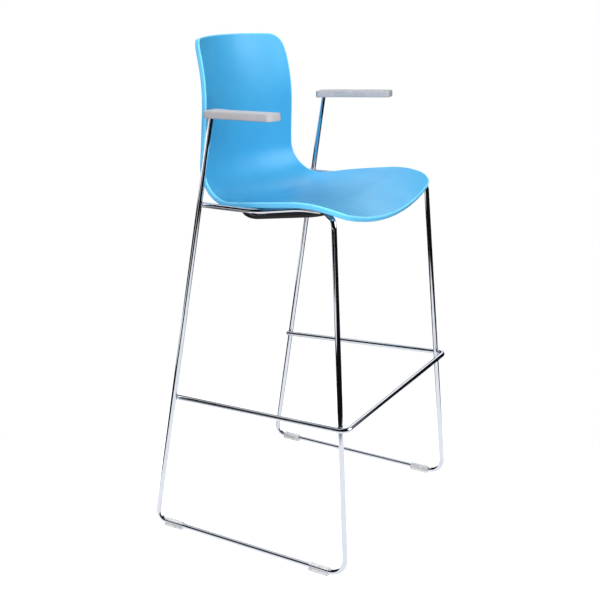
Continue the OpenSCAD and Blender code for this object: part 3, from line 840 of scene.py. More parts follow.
def rod_tree() -> bpy.types.NodeTree:
    """Builds the tree that bends a wire at its corners and sweeps a round bar along it.

    Returns:
        The geometry tree.
    """
    sizes = {
        "Rod Radius": ("NodeSocketFloat", 0.0055),
        "Bend Steps": ("NodeSocketInt", 20),
        "Round Steps": ("NodeSocketInt", 48),
    }
    graph, source = start_tree("bent_rod", sizes)
    wire = graph.out("GeometryNodeMeshToCurve", {"Mesh": source["Geometry"]})
    radius = graph.out(
        "GeometryNodeInputNamedAttribute", {"Name": BEND_RADIUS}, {"data_type": "FLOAT"}
    )
    bent = graph.out(
        "GeometryNodeFilletCurve",
        {"Curve": wire, "Count": source["Bend Steps"], "Radius": radius},
        {"mode": "POLY"},
    )
    circle = graph.out(
        "GeometryNodeCurvePrimitiveCircle",
        {"Resolution": source["Round Steps"], "Radius": source["Rod Radius"]},
    )
    swept = graph.out(
        "GeometryNodeCurveToMesh", {"Curve": bent, "Profile Curve": circle, "Fill Caps": True}
    )
    return end_tree(graph, source, graph.out("GeometryNodeSetShadeSmooth", {0: swept}))


def bead_tree() -> bpy.types.NodeTree:
    """Builds the tree that lays overlapping weld ripples along a wire.

    Returns:
        The geometry tree.
    """
    sizes = {
        "Bead Size": ("NodeSocketFloat", 0.0015),
        "Pitch": ("NodeSocketFloat", 0.0012),
        "Least Size": ("NodeSocketFloat", 0.8),
        "Most Size": ("NodeSocketFloat", 1.12),
        "Seed": ("NodeSocketInt", 7),
    }
    graph, source = start_tree("weld_bead", sizes)
    wire = graph.out("GeometryNodeMeshToCurve", {"Mesh": source["Geometry"]})
    spots = graph.out(
        "GeometryNodeCurveToPoints", {"Curve": wire, "Length": source["Pitch"]}, {"mode": "LENGTH"}
    )
    drop = graph.out(
        "GeometryNodeMeshUVSphere", {"Segments": 8, "Rings": 6, "Radius": source["Bead Size"]}
    )
    size = graph.out(
        "FunctionNodeRandomValue",
        {"Min": source["Least Size"], "Max": source["Most Size"], "Seed": source["Seed"]},
        {"data_type": "FLOAT_VECTOR"},
    )
    laid = graph.out(
        "GeometryNodeInstanceOnPoints", {"Points": spots, "Instance": drop, "Scale": size}
    )
    return end_tree(graph, source, laid)


def screw_tree() -> bpy.types.NodeTree:
    """Builds the tree that puts a copy of one screw on every point, turned by the point's turn.

    Returns:
        The geometry tree.
    """
    graph, source = start_tree("screw_set", {"Screw": ("NodeSocketObject", None)})
    screw = graph.add("GeometryNodeObjectInfo", {"Object": source["Screw"]}).outputs["Geometry"]
    turn = graph.out(
        "GeometryNodeInputNamedAttribute", {"Name": TURN}, {"data_type": "FLOAT_VECTOR"}
    )
    facing = graph.out("FunctionNodeEulerToRotation", {0: turn})
    laid = graph.out(
        "GeometryNodeInstanceOnPoints",
        {"Points": source["Geometry"], "Instance": screw, "Rotation": facing},
    )
    return end_tree(graph, source, laid)


# ---- the stool's plan


@dataclass(frozen=True)
class Plan:
    """Sizes in millimetres that the sub-assemblies share."""

    rod_d: float = 11.0
    weld_gap: float = 0.2
    fit_gap: float = 0.15
    glide_sole: float = 3.0
    base_w: float = 542.0
    base_l: float = 494.0
    seat_h: float = 748.5
    rail_rise: float = 11.4
    arm_w: float = 475.0
    arm_y: float = 89.0
    arm_rise: float = 194.0
    front_top_w: float = 460.0
    front_top_reach: float = 188.5
    pad_toe: float = 8.7
    pad_tilt: float = 1.8
    bracket_h: float = 1.0
    bracket_t: float = 3.0
    plate_t: float = 2.5
    plate_rows: tuple[Flat, ...] = ((-90.0, 4.2), (-15.0, 12.5))  # place and drop of each plate
    seat_screw_x: float = 70.0
    seat_slope: float = 5.3
    seat_dish: float = 5.7
    dish_span: float = 100.0
    shell_wall: float = 4.5

    @property
    def rod_r(self) -> float:
        """Radius of the rod."""
        return self.rod_d / 2

    @property
    def touch(self) -> float:
        """Distance between the centres of two welded rods."""
        return self.rod_d + self.weld_gap

    @property
    def runner_z(self) -> float:
        """Height of the runners' centre."""
        return self.glide_sole + self.fit_gap + self.rod_r

    @property
    def rail_z(self) -> float:
        """Height of the seat rails' centre."""
        return self.seat_h + self.rail_rise

    @property
    def plate_top(self) -> float:
        """Height of the cross plates' top at the rails."""
        return self.rail_z - self.rod_r - self.weld_gap / 2

    @property
    def arm_top(self) -> Vector:
        """Middle of the left pad's underside over the leg."""
        return Vector((self.arm_w / 2, self.arm_y, self.seat_h + self.arm_rise))

    @property
    def rear_foot(self) -> Vector:
        """Corner between the left runner and rear leg."""
        return Vector((self.base_w / 2, self.base_l / 2, self.runner_z))

    @property
    def front_foot(self) -> Vector:
        """Corner between the left runner and front leg."""
        return Vector((self.base_w / 2, -self.base_l / 2, self.runner_z))

    @property
    def front_top(self) -> Vector:
        """Corner between the left front leg and seat rail."""
        return Vector((self.front_top_w / 2, -self.front_top_reach, self.rail_z))

    @property
    def rail_joint(self) -> Vector:
        """Point of the left rear leg at the height of the seat rail."""
        return along(self.rear_foot, self.arm_top, self.rail_z)

    def arm_matrix(self, side: Side) -> Matrix:
        """Place of an arm pad's own frame, in millimetres.

        Args:
            side: the side of the stool.

        Returns:
            The matrix for a pad that points along minus Y with X outwards.
        """
        turn = Euler((0.0, 0.0, math.radians(self.pad_toe))).to_matrix()
        tilt = Euler((-math.radians(self.pad_tilt), 0.0, 0.0)).to_matrix()
        left = Matrix.Translation(self.arm_top) @ (turn @ tilt).to_4x4()
        return left if side is Side.LEFT else Matrix.Diagonal((-1.0, 1.0, 1.0, 1.0)) @ left

    def seat_z(self, x: float, y: float) -> float:
        """Height of the sitter's surface over the straight part of the seat."""
        rise = self.seat_dish * (x / self.dish_span) ** 2
        return self.seat_h - y * math.tan(math.radians(self.seat_slope)) + rise


# ---- the bent frame


@dataclass
class BentFrame:
    """The chrome rods: a side frame on each side and the footrest between them."""

    plan: Plan
    shop: Workshop
    rear_bend_r: float = 22.0
    front_bend_r: float = 36.0
    top_bend_r: float = 18.0
    rail_mid_w: float = 334.0
    rail_front_reach: float = 134.0
    rail_rear_reach: float = 77.0
    rail_turn_y: float = -9.0
    rail_bend_r: float = 40.0
    rail_front_bend_r: float = 25.0
    rail_tail: float = 6.0
    foot_rear_h: float = 317.0
    foot_front_h: float = 336.0
    foot_reach: float = 18.0
    foot_tail: float = 4.0
    foot_bend_r: float = 17.0

    def leg_top(self) -> Vector:
        """Finds the top end of the left rear leg, just under the arm bracket.

        Returns:
            The point.
        """
        plan = self.plan
        lean = (plan.arm_top - plan.rear_foot).normalized()
        up = (plan.arm_matrix(Side.LEFT).to_3x3() @ Vector((0.0, 0.0, 1.0))).normalized()
        share = lean.dot(up)
        spread = plan.rod_r * math.sqrt(max(1.0 - share * share, 0.0))
        return plan.arm_top + lean * (plan.bracket_h - plan.weld_gap - spread) / share

    def side_path(self) -> Path:
        """Lays out the left side frame.

        Returns:
            Each corner of its centre line with the bend's radius.
        """
        plan = self.plan
        z = plan.rail_z
        end = plan.rail_joint + Vector((-plan.touch, self.rail_tail, 0.0))
        return [
            (self.leg_top(), 0.0),
            (plan.rear_foot, self.rear_bend_r),
            (plan.front_foot, self.front_bend_r),
            (plan.front_top, self.top_bend_r),
            (Vector((self.rail_mid_w / 2, -self.rail_front_reach, z)), self.rail_front_bend_r),
            (Vector((self.rail_mid_w / 2, -self.rail_rear_reach, z)), self.rail_bend_r),
            (Vector((end.x, self.rail_turn_y, z)), self.rail_bend_r),
            (end, 0.0),
        ]

    def foot_joints(self) -> tuple[Vector, Vector]:
        """Finds the centres of the left footrest bar at the rear and the front leg.

        Returns:
            Both points.
        """
        plan = self.plan
        shift = Vector((plan.touch, 0.0, 0.0))
        rear = along(plan.rear_foot, plan.arm_top, self.foot_rear_h) - shift
        front = along(plan.front_foot, plan.front_top, self.foot_front_h) + shift
        return rear, front

    def foot_path(self) -> Path:
        """Lays out the footrest.

        Returns:
            Each corner of its centre line with the bend's radius.
        """
        rear, front = self.foot_joints()
        run = (front - rear).normalized()
        left = [
            (rear - run * self.foot_tail, 0.0),
            (front + run * self.foot_reach, self.foot_bend_r),
        ]
        return left + [(mirrored(p), r) for p, r in reversed(left)]

    def rod(self, name: str, path: Path, node: str) -> None:
        """Sweeps one rod and puts it in its CAD node's place.

        Args:
            name: the piece's name.
            path: each corner of its centre line with the bend's radius.
            node: the CAD node.
        """
        wire = wire_of(name, [[corner for corner, _ in path]])
        bends = wire.attributes.new(BEND_RADIUS, "FLOAT", "POINT")
        bends.data.foreach_set("value", [radius * MM for _, radius in path])
        sizes = {"Rod Radius": self.plan.rod_r * MM}
        mesh = self.shop.grow(self.shop.rod_tree, wire, Look.CHROME, sizes)
        self.shop.piece(name, mesh, Look.CHROME, node)

    def build(self) -> None:
        """Builds both side frames and the footrest."""
        left = self.side_path()
        self.rod("side_rod_left", left, "left_side_frame")
        self.rod("side_rod_right", [(mirrored(p), r) for p, r in left], "right_side_frame")
        self.rod("footrest_rod", self.foot_path(), "footrest")


@dataclass
class Welds:
    """Weld beads where rods, plates and brackets meet."""

    plan: Plan
    shop: Workshop
    frame: BentFrame
    ring_steps: int = 28
    crevice_r: float = 4.3
    crevice_bead: float = 1.5
    collar_r: float = 6.1
    collar_drop: float = 1.0
    collar_bead: float = 1.1
    plate_w: float = 24.0
    plate_share: float = 0.84
    plate_steps: int = 8
    plate_inset: float = 4.6
    plate_lift: float = 0.5
    plate_bead: float = 1.2
    overlap: float = 0.85

    def ring(self, centre: Vector, u: Vector, v: Vector, r: float) -> list[Vector]:
        """Walks round a ring.

        Args:
            centre: its middle.
            u: first direction in its plane.
            v: second direction in its plane.
            r: radius.

        Returns:
            The points.
        """
        turns = (2 * math.pi * i / self.ring_steps for i in range(self.ring_steps))
        return [centre + (u * math.cos(a) + v * math.sin(a)) * r for a in turns]

    def crevices(self) -> list[list[Vector]]:
        """Lays rings in the crevices where the left side's rods touch.

        Returns:
            The rings.
        """
        rear, front = self.frame.foot_joints()
        half = Vector((self.plan.touch / 2, 0.0, 0.0))
        back, up = Vector((0.0, 1.0, 0.0)), Vector((0.0, 0.0, 1.0))
        middles = (rear + half, front - half, self.plan.rail_joint - half)
        return [self.ring(middle, back, up, self.crevice_r) for middle in middles]

    def collar(self) -> list[Vector]:
        """Lays a ring round the left rear leg's top, under the bracket.

        Returns:
            The ring.
        """
        matrix = self.plan.arm_matrix(Side.LEFT)
        middle = matrix @ Vector((0.0, 0.0, self.plan.bracket_h - self.collar_drop))
        out, back, _ = matrix.to_3x3().col
        return self.ring(middle, out, back, self.collar_r)

    def plate_line(self, y: float) -> list[Vector]:
        """Lays a line between the left rail and a cross plate's top.

        Args:
            y: place of the plate's middle.

        Returns:
            The line.
        """
        plan, frame = self.plan, self.frame
        rail_x, end_x = frame.rail_mid_w / 2, plan.rail_joint.x - plan.touch
        run = frame.rail_turn_y + frame.rail_rear_reach
        line = []
        for i in range(self.plate_steps + 1):
            at = y + self.plate_w * (i / self.plate_steps - 0.5) * self.plate_share
            share = min(max(0.0, (at + frame.rail_rear_reach) / run), 1.0)
            x = rail_x + (end_x - rail_x) * share - self.plate_inset
            line.append(Vector((x, at, plan.plate_top + self.plate_lift)))
        return line

    def build(self) -> None:
        """Builds the beads of both sides."""
        lines = [self.plate_line(y) for y, _ in self.plan.plate_rows]
        kinds = (
            (self.crevices(), True, self.crevice_bead),
            ([self.collar()], True, self.collar_bead),
            (lines, False, self.plate_bead),
        )
        parts = []
        for chains, closed, size in kinds:
            right = [[mirrored(p) for p in chain] for chain in chains]
            wire = wire_of("bead_path", chains + right, closed)
            sizes = {"Bead Size": size * MM, "Pitch": size * self.overlap * MM}
            parts.append(self.shop.grow(self.shop.bead_tree, wire, Look.WELD, sizes))
        self.shop.piece("weld_beads", joined(parts, "weld_beads"), Look.WELD)


# ---- the shell


@dataclass(frozen=True)
class Stretch:
    """A stretch of the shell's centre line: its length and its turn in radians."""

    length: float
    turn: float

    def advance(self, state: Vector, s: float) -> Vector:
        """Runs along the stretch.

        Args:
            state: y, z and heading at its start, heading being the angle from straight down.
            s: distance along it.

        Returns:
            y, z and heading there.
        """
        y, z, h0 = state
        if self.turn == 0:
            return Vector((y - s * math.sin(h0), z - s * math.cos(h0), h0))
        h1 = h0 + self.turn * s / self.length
        r = self.length / self.turn
        y -= r * (math.cos(h0) - math.cos(h1))
        return Vector((y, z - r * (math.sin(h1) - math.sin(h0)), h1))


@dataclass(frozen=True)
class Curve:
    """A smooth curve through [place, value] keys, in order of place."""

    keys: tuple[Flat, ...]

    def slope(self, i: int) -> float:
        """Slope at key i."""
        a, b = self.keys[max(i - 1, 0)], self.keys[min(i + 1, len(self.keys) - 1)]
        return (b[1] - a[1]) / (b[0] - a[0])

    def at(self, s: float) -> float:
        """Reads the curve.

        Args:
            s: the place.

        Returns:
            The value there.
        """
        i = 0
        while i < len(self.keys) - 2 and s >= self.keys[i + 1][0]:
            i += 1
        (s0, v0), (s1, v1) = self.keys[i], self.keys[i + 1]
        w = s1 - s0
        t = min(max((s - s0) / w, 0.0), 1.0)
        return (
            (1 + 2 * t) * (1 - t) ** 2 * v0
            + t * (1 - t) ** 2 * w * self.slope(i)
            + t * t * (3 - 2 * t) * v1
            - t * t * (1 - t) * w * self.slope(i + 1)
        )


@dataclass
class SeatShell:
    """The moulded seat and back, with its turned rim and screw bosses."""

    plan: Plan
    shop: Workshop
    back_rise: float = 346.5
    back_y: float = 175.0
    flare_rise: float = 192.0
    flare_r: float = 372.0
    bend_r: float = 97.0
    roll_reach: float = 97.5
    roll_r: float = 248.0
    lip_reach: float = 218.0
    top_w: float = 342.0
    flare_w: float = 358.0
    waist_w: float = 368.0
    bend_w: float = 389.0
    hip_w: float = 413.0
    thigh_w: float = 454.0
    roll_w: float = 476.0
    front_w: float = 472.0
    top_corner_r: float = 42.0
    front_corner_r: float = 53.0
    top_bow: float = 11.5
    front_bow: float = 15.0
    top_dish: float = 13.4
    waist_dish: float = 8.6
    rim_depth: float = 11.8
    rim_wall: float = 5.0
    rim_rows: Flat = (0.4, 0.65)  # shares of the rim's depth
    rim_fillet_r: float = 2.5
    rim_cut: Flat = (0.8, 0.2)
    lip_r: float = 2.0
    lip_flat: float = 2.0
    margin: float = 6.0
    # share of the painted light on the rim's wall and underside; the rounded edge gets a full
    # painted highlight
    wall_paleness: float = 0.36
    boss_d: float = 18.0
    boss_edge: float = 0.6
    boss_sink: float = 2.2
    boss_flare: tuple[Flat, ...] = ((0.1, 4.5), (0.8, 3.0), (2.2, 1.8))  # growth, depth
    boss_steps: int = 48
    side_steps: int = 96
    corner_steps: int = 16
    bow_steps: int = 16
    field_steps: int = 15
    round_steps: int = 5
    spine_end: float = 60.0
    sharp_angle: float = 50.0

    def __post_init__(self) -> None:
        """Works out the centre line, the widths and the curl."""
        plan = self.plan
        slope = math.radians(plan.seat_slope)
        lean = math.asin((self.back_rise - self.flare_rise) / self.flare_r)
        bend_rise = self.bend_r / math.cos(slope) - (self.back_y - self.bend_r) * math.tan(slope)
        seat_y = self.back_y - self.bend_r - self.bend_r * math.sin(slope)
        dip = math.asin((self.lip_reach - self.roll_reach) / self.roll_r - math.sin(slope))
        self.stretches = [
            Stretch(self.flare_r * lean, -lean),
            Stretch(self.flare_rise - bend_rise, 0.0),
            Stretch(self.bend_r * (math.pi / 2 + slope), math.pi / 2 + slope),
            Stretch((seat_y + self.roll_reach) / math.cos(slope), 0.0),
            Stretch(self.roll_r * (dip + slope), -(dip + slope)),
        ]
        top_y = self.back_y + self.flare_r * (1 - math.cos(lean))
        self.top = Vector((top_y, plan.seat_h + self.back_rise, lean))
        starts = [0.0]
        for stretch in self.stretches:
            starts.append(starts[-1] + stretch.length)
        _, flare, bend, seat, roll, self.length = starts
        widths = (
            (self.top_corner_r, self.top_w),
            (flare, self.flare_w),
            (bend, self.waist_w),
            (bend + self.stretches[2].length / 2, self.bend_w),
            (seat, self.hip_w),
            (seat + seat_y / math.cos(slope), self.thigh_w),
            (roll, self.roll_w),
            (self.length - self.front_corner_r, self.front_w),
        )
        self.widths = Curve(tuple((s, width / 2) for s, width in widths))
        dishes = (
            (0.0, self.top_dish),
            (bend, self.waist_dish),
            (seat, plan.seat_dish),
            (self.length, plan.seat_dish),
        )
        self.curl = Curve(tuple((s, dish / plan.dish_span**2) for s, dish in dishes))

    def state(self, s: float) -> Vector:
        """Follows the centre line.

        Args:
            s: distance from the top edge.

        Returns:
            y, z and heading there.
        """
        state = self.top
        for stretch in self.stretches[:-1]:
            if s <= stretch.length:
                return stretch.advance(state, s)
            state = stretch.advance(state, stretch.length)
            s -= stretch.length
        return self.stretches[-1].advance(state, s)

    def point(self, x: float, s: float, depth: float) -> Vector:
        """Finds a point of the shell.

        Args:
            x: place across.
            s: place along the centre line.
            depth: distance below the sitter's surface.

        Returns:
            The point.
        """
        y, z, heading = self.state(s)
        d = self.curl.at(s) * x * x - depth
        return Vector((x, y - math.cos(heading) * d, z + math.sin(heading) * d))

    def end_edge(self, w: float, r: float, bow: float) -> list[Flat]:
        """Lays out half of an end's edge: a bow, then a round corner.

        Args:
            w: width at the corners.
            r: corner radius.
            bow: set-back of the corners.

        Returns:
            [x, s] pairs from the middle outwards.
        """
        reach = w / 2 - r
        rate = bow / reach**2
        a0 = math.atan(2 * rate * reach / (1 - 2 * rate * r))
        x0 = reach + r * math.sin(a0)
        depth = rate * x0 * x0 + r * math.cos(a0)
        bowed = [x0 * i / self.bow_steps for i in range(self.bow_steps)]
        turns = [
            a0 + (math.pi / 2 - a0) * i / self.corner_steps for i in range(self.corner_steps + 1)
        ]
        made = [(x, rate * x**2) for x in bowed]
        return made + [(reach + r * math.sin(a), depth - r * math.cos(a)) for a in turns]

    def edge(self) -> list[Vector]:
        """Lays out the shell's edge.

        Returns:
            A closed loop of [x, s] points, down the left side and up the right.
        """
        half = self.end_edge(self.top_w, self.top_corner_r, self.top_bow)
        front = self.end_edge(self.front_w, self.front_corner_r, self.front_bow)
        first, last = half[-1][1], self.length - front[-1][1]
        for i in range(1, self.side_steps):
            s = first + (last - first) * i / self.side_steps
            half.append((self.widths.at(s), s))
        half.extend((x, self.length - s) for x, s in reversed(front))
        back = [(-x, s) for x, s in reversed(half[1:-1])]
        return [Vector(p) for p in half + back]

    def section(self) -> list[Flat]:
        """Lays out the rim's section.

        Returns:
            [distance in from the edge, depth] pairs from the sitter's side round to the back.
        """
        r, wall, rim, depth = self.lip_r, self.plan.shell_wall, self.rim_wall, self.rim_depth
        fillet, (cut, round_off) = self.rim_fillet_r, self.rim_cut
        turns = quarter(self.round_steps)
        made = [(r + self.margin, 0.0), (r + self.lip_flat, 0.0)]
        made += [(r * (1 - math.sin(a)), r * (1 - math.cos(a))) for a in turns]
        made += [(0.0, depth * share) for share in self.rim_rows]
        made += [(r * (1 - math.cos(a)), depth - r * (1 - math.sin(a))) for a in turns]
        made += [(rim - cut, depth), (rim - round_off, depth - round_off), (rim, depth - cut)]
        made += [
            (rim + fillet * (1 - math.cos(a)), wall + fillet * (1 - math.sin(a))) for a in turns
        ]
        return made + [(rim + self.margin, wall)]

    def skin(self) -> bpy.types.Mesh:
        """Builds the closed shell without its bosses.

        Returns:
            The mesh, with its painted rim light and highlight marked.
        """
        edge = self.edge()
        n = len(edge)
        half = n // 2
        inward = []
        for k in range(n):
            run = (edge[(k + 1) % n] - edge[k - 1]).normalized()
            inward.append(Vector((-run.y, run.x)))
        reach = self.length - 2 * self.spine_end
        spine = [Vector((0.0, self.spine_end + reach * i / half)) for i in range(half + 1)]
        section = self.section()
        field = [i / self.field_steps for i in range(1, self.field_steps)]
        rows = [(section[0], f) for f in reversed(field)]
        rows += [(q, 0.0) for q in section]
        rows += [(section[-1], f) for f in field]
        points: list[Vector] = []
        for (inset, depth), f in rows:
            for k in range(n):
                at = (edge[k] + inward[k] * inset).lerp(spine[min(k, n - k)], f)
                points.append(self.point(at.x, at.y, depth))
        last = len(points) - n
        faces = [face for start in range(0, last, n) for face in ring_faces(n, start)]
        front, back = len(points), len(points) + half + 1
        for depth in (0.0, self.plan.shell_wall):
            points.extend(self.point(0.0, middle.y, depth) for middle in spine)
        for i in range(n):
            k = (i + 1) % n
            a, b = min(i, n - i), min(k, n - k)
            faces.append((i, front + a, front + b, k))
            faces.append((last + i, last + k, back + b, back + a))
        mesh = mesh_of("shell_skin", points, faces)
        # paints a full highlight on the rim's rounded edge and a share of painted light on its
        # wall and underside
        painted_light = [0.0] * len(points)
        for j, (_, depth) in enumerate(section[2:-1], len(field) + 2):
            painted_light[j * n : (j + 1) * n] = [1.0 if depth < self.lip_r else self.wall_paleness] * n
        mesh.attributes.new(PAINTED_RIM_LIGHT, "FLOAT", "POINT").data.foreach_set("value", painted_light)
        return mesh

    def boss(self, x: float, y: float, drop: float) -> bpy.types.Mesh:
        """Builds one screw boss.

        Args:
            x: place across.
            y: place along the stool.
            drop: how far its cross plate lies below the rails' plate level.

        Returns:
            The mesh.
        """
        low = self.plan.plate_top - drop
        high = self.plan.seat_z(x, y) - self.boss_sink
        r = self.boss_d / 2
        profile = [(r - self.boss_edge, low), (r, low + self.boss_edge)]
        profile += [(r + grow, high - depth) for grow, depth in self.boss_flare]
        points, faces = lathe(profile, self.boss_steps)
        return mesh_of("shell_boss", [p + Vector((x, y, 0.0)) for p in points], faces)

    def build(self) -> None:
        """Builds the shell in its CAD node's place."""
        parts = [self.skin()]
        for x in (-self.plan.seat_screw_x, self.plan.seat_screw_x):
            parts += [self.boss(x, y, drop) for y, drop in self.plan.plate_rows]
        mesh = joined(parts, "seat_shell", self.sharp_angle)
        self.shop.piece("seat_shell", mesh, Look.SHELL, "shell")


# ---- the arms


@dataclass
class ArmPads:
    """The moulded pads on the rear legs' tops."""

    plan: Plan
    shop: Workshop
    length: float = 169.5
    width: float = 37.0
    lobe: float = 10.0
    lobe_front: float = 1.0
    lobe_run: float = 34.0
    tail: float = 11.5
    tail_slant: float = 4.5
    front_outer_r: float = 10.0
    rear_outer_r: float = 11.0
    rear_inner_r: float = 8.0
    lobe_r: float = 14.0
    neck_r: float = 18.0
    front_inner_r: float = 6.0
    thickness: float = 15.5
    crown: float = 0.05
    crown_inset: float = 1.5
    edge_r: float = 3.0
    edge_steps: int = 8
    foot_r: float = 2.5
    foot_steps: int = 6
    bracket_w: float = 20.0
    bracket_l: float = 105.0
    bracket_tail: float = 5.5
    recess_gap: float = 0.3
    recess_front_r: float = 4.3
    recess_rear_r: float = 8.3
    recess_steps: int = 6
    corner_steps: int = 14
    sharp_angle: float = 40.0

    def outline(self) -> Outline:
        """Lays out the pad, outer side first.

        Returns:
            The outline.
        """
        outer = self.width / 2
        neck_y = -self.lobe_front - self.lobe_run
        return Outline(
            (
                (outer, -self.length, self.front_outer_r),
                (outer, self.tail - self.tail_slant, self.rear_outer_r),
                (-outer - self.lobe, self.tail, self.rear_inner_r),
                (-outer - self.lobe, -self.lobe_front, self.lobe_r),
                (-outer, neck_y, self.neck_r),
                (-outer, -self.length, self.front_inner_r),
            )
        )

    def pocket(self) -> Outline:
        """Lays out the bracket's pocket in the underside.

        Returns:
            The outline.
        """
        w = self.bracket_w / 2 + self.recess_gap
        front, front_r = -self.bracket_l - self.recess_gap, self.recess_front_r
        rear, rear_r = self.bracket_tail + self.recess_gap, self.recess_rear_r
        return Outline(
            ((w, front, front_r), (w, rear, rear_r), (-w, rear, rear_r), (-w, front, front_r))
        )

    def mesh(self, side: Side) -> bpy.types.Mesh:
        """Builds one pad.

        Args:
            side: the side of the stool.

        Returns:
            The mesh in place.
        """
        foot, edge, top = self.foot_r, self.edge_r, self.thickness
        turns = quarter(self.foot_steps)
        rows = [(foot * (1 - math.sin(a)), foot * (1 - math.cos(a))) for a in turns]
        turns = quarter(self.edge_steps)
        rows += [(edge * (1 - math.cos(a)), top - edge * (1 - math.sin(a))) for a in turns]
        rows.append((edge + self.crown_inset, top + self.crown))
        work = bmesh.new()

        def ring(points: Iterable[Vector], z: float) -> list[bmesh.types.BMVert]:
            """Adds a ring of points at height z."""
            return [work.verts.new((p.x, p.y, z)) for p in points]

        def wall(low: list[bmesh.types.BMVert], high: list[bmesh.types.BMVert]) -> None:
            """Adds the quads between two rings."""
            for i in range(len(low)):
                work.faces.new((low[i - 1], low[i], high[i], high[i - 1]))

        outline = self.outline()
        rings = [ring(outline.inset(inset).points(self.corner_steps), z) for inset, z in rows]
        for low, high in zip(rings, rings[1:]):
            wall(low, high)
        work.faces.new(rings[-1])
        mouth = self.pocket().points(self.recess_steps)
        deep = self.plan.bracket_h + self.plan.bracket_t + self.recess_gap
        mouth_ring, roof_ring = ring(mouth, 0.0), ring(mouth, deep)
        wall(roof_ring, mouth_ring)
        work.faces.new(roof_ring[::-1])
        rims = (rings[0], mouth_ring)
        rim = [work.edges.get((r[i - 1], r[i])) for r in rims for i in range(len(r))]
        bmesh.ops.triangle_fill(work, edges=rim, use_dissolve=False)
        place = Matrix.Scale(MM, 4) @ self.plan.arm_matrix(side)
        bmesh.ops.transform(work, matrix=place, verts=work.verts)
        bmesh.ops.recalc_face_normals(work, faces=work.faces)
        return finished(work, "arm_pad", self.sharp_angle)

    def build(self) -> None:
        """Builds both pads."""
        for side in Side:
            name, node = f"arm_pad_{side.word}", f"{side.word}_arm_pad"
            self.shop.piece(name, self.mesh(side), Look.PAD, node)


# ---- the screws


class Head(Enum):
    """Forms of screw head."""

    PAN = "pan"
    SUNK = "sunk"


@dataclass(frozen=True)
class Screw:
    """A hex-socket screw whose head's outer face lies at height 0 and whose shank points up."""

    head: Head
    shank_d: float
    head_d: float
    head_h: float
    shank_l: float
    socket_d: float
    sunk_edge: float = 0.15
    pan_face: float = 0.72  # flat share of the head's radius
    pan_crown: float = 0.55  # domed share of the head's height
    pan_cut: float = 0.2
    pan_steps: int = 5
    tip_cut: float = 0.5
    socket_share: float = 0.6
    socket_lip: Flat = (0.1, 0.05)
    steps: int = 48  # points in a turn
    sharp_angle: float = 35.0

    def profile(self) -> list[Flat]:
        """Lays out the screw's outside.

        Returns:
            [radius, height] pairs, from the socket's rim upwards.
        """
        r, shank, h = self.head_d / 2, self.shank_d / 2, self.head_h
        if self.head is Head.SUNK:
            outside = [(r - self.sunk_edge, 0.0), (r, self.sunk_edge)]
        else:
            face, crown = self.pan_face, h * self.pan_crown
            outside = [
                (r * (face + (1 - face) * math.sin(a)), crown * (1 - math.cos(a)))
                for a in quarter(self.pan_steps)
            ]
            outside += [(r, h - self.pan_cut), (r - self.pan_cut, h)]
        tip = h + self.shank_l
        return outside + [(shank, h), (shank, tip - self.tip_cut), (shank - self.tip_cut, tip)]

    def mesh(self) -> bpy.types.Mesh:
        """Builds the screw at the origin.

        Returns:
            The mesh.
        """
        apothem = self.socket_d / 2
        deep, (widen, low) = self.head_h * self.socket_share, self.socket_lip
        socket = [(apothem, deep), (apothem, low), (apothem + widen, 0.0)]

        def hexagon(a: float, ring: int) -> float:
            """Makes the socket's rings hexagons.

            Args:
                a: angle round the screw.
                ring: number of the ring.

            Returns:
                Factor on the radius.
            """
            if ring >= len(socket):
                return 1.0
            return 1.0 / math.cos((a + math.pi / 6) % (math.pi / 3) - math.pi / 6)

        points, faces = lathe(socket + self.profile(), self.steps, hexagon)
        work = bmesh.new()
        work.from_mesh(mesh_of("screw_blank", points, faces))
        bmesh.ops.recalc_face_normals(work, faces=work.faces)
        return finished(work, "screw", self.sharp_angle)


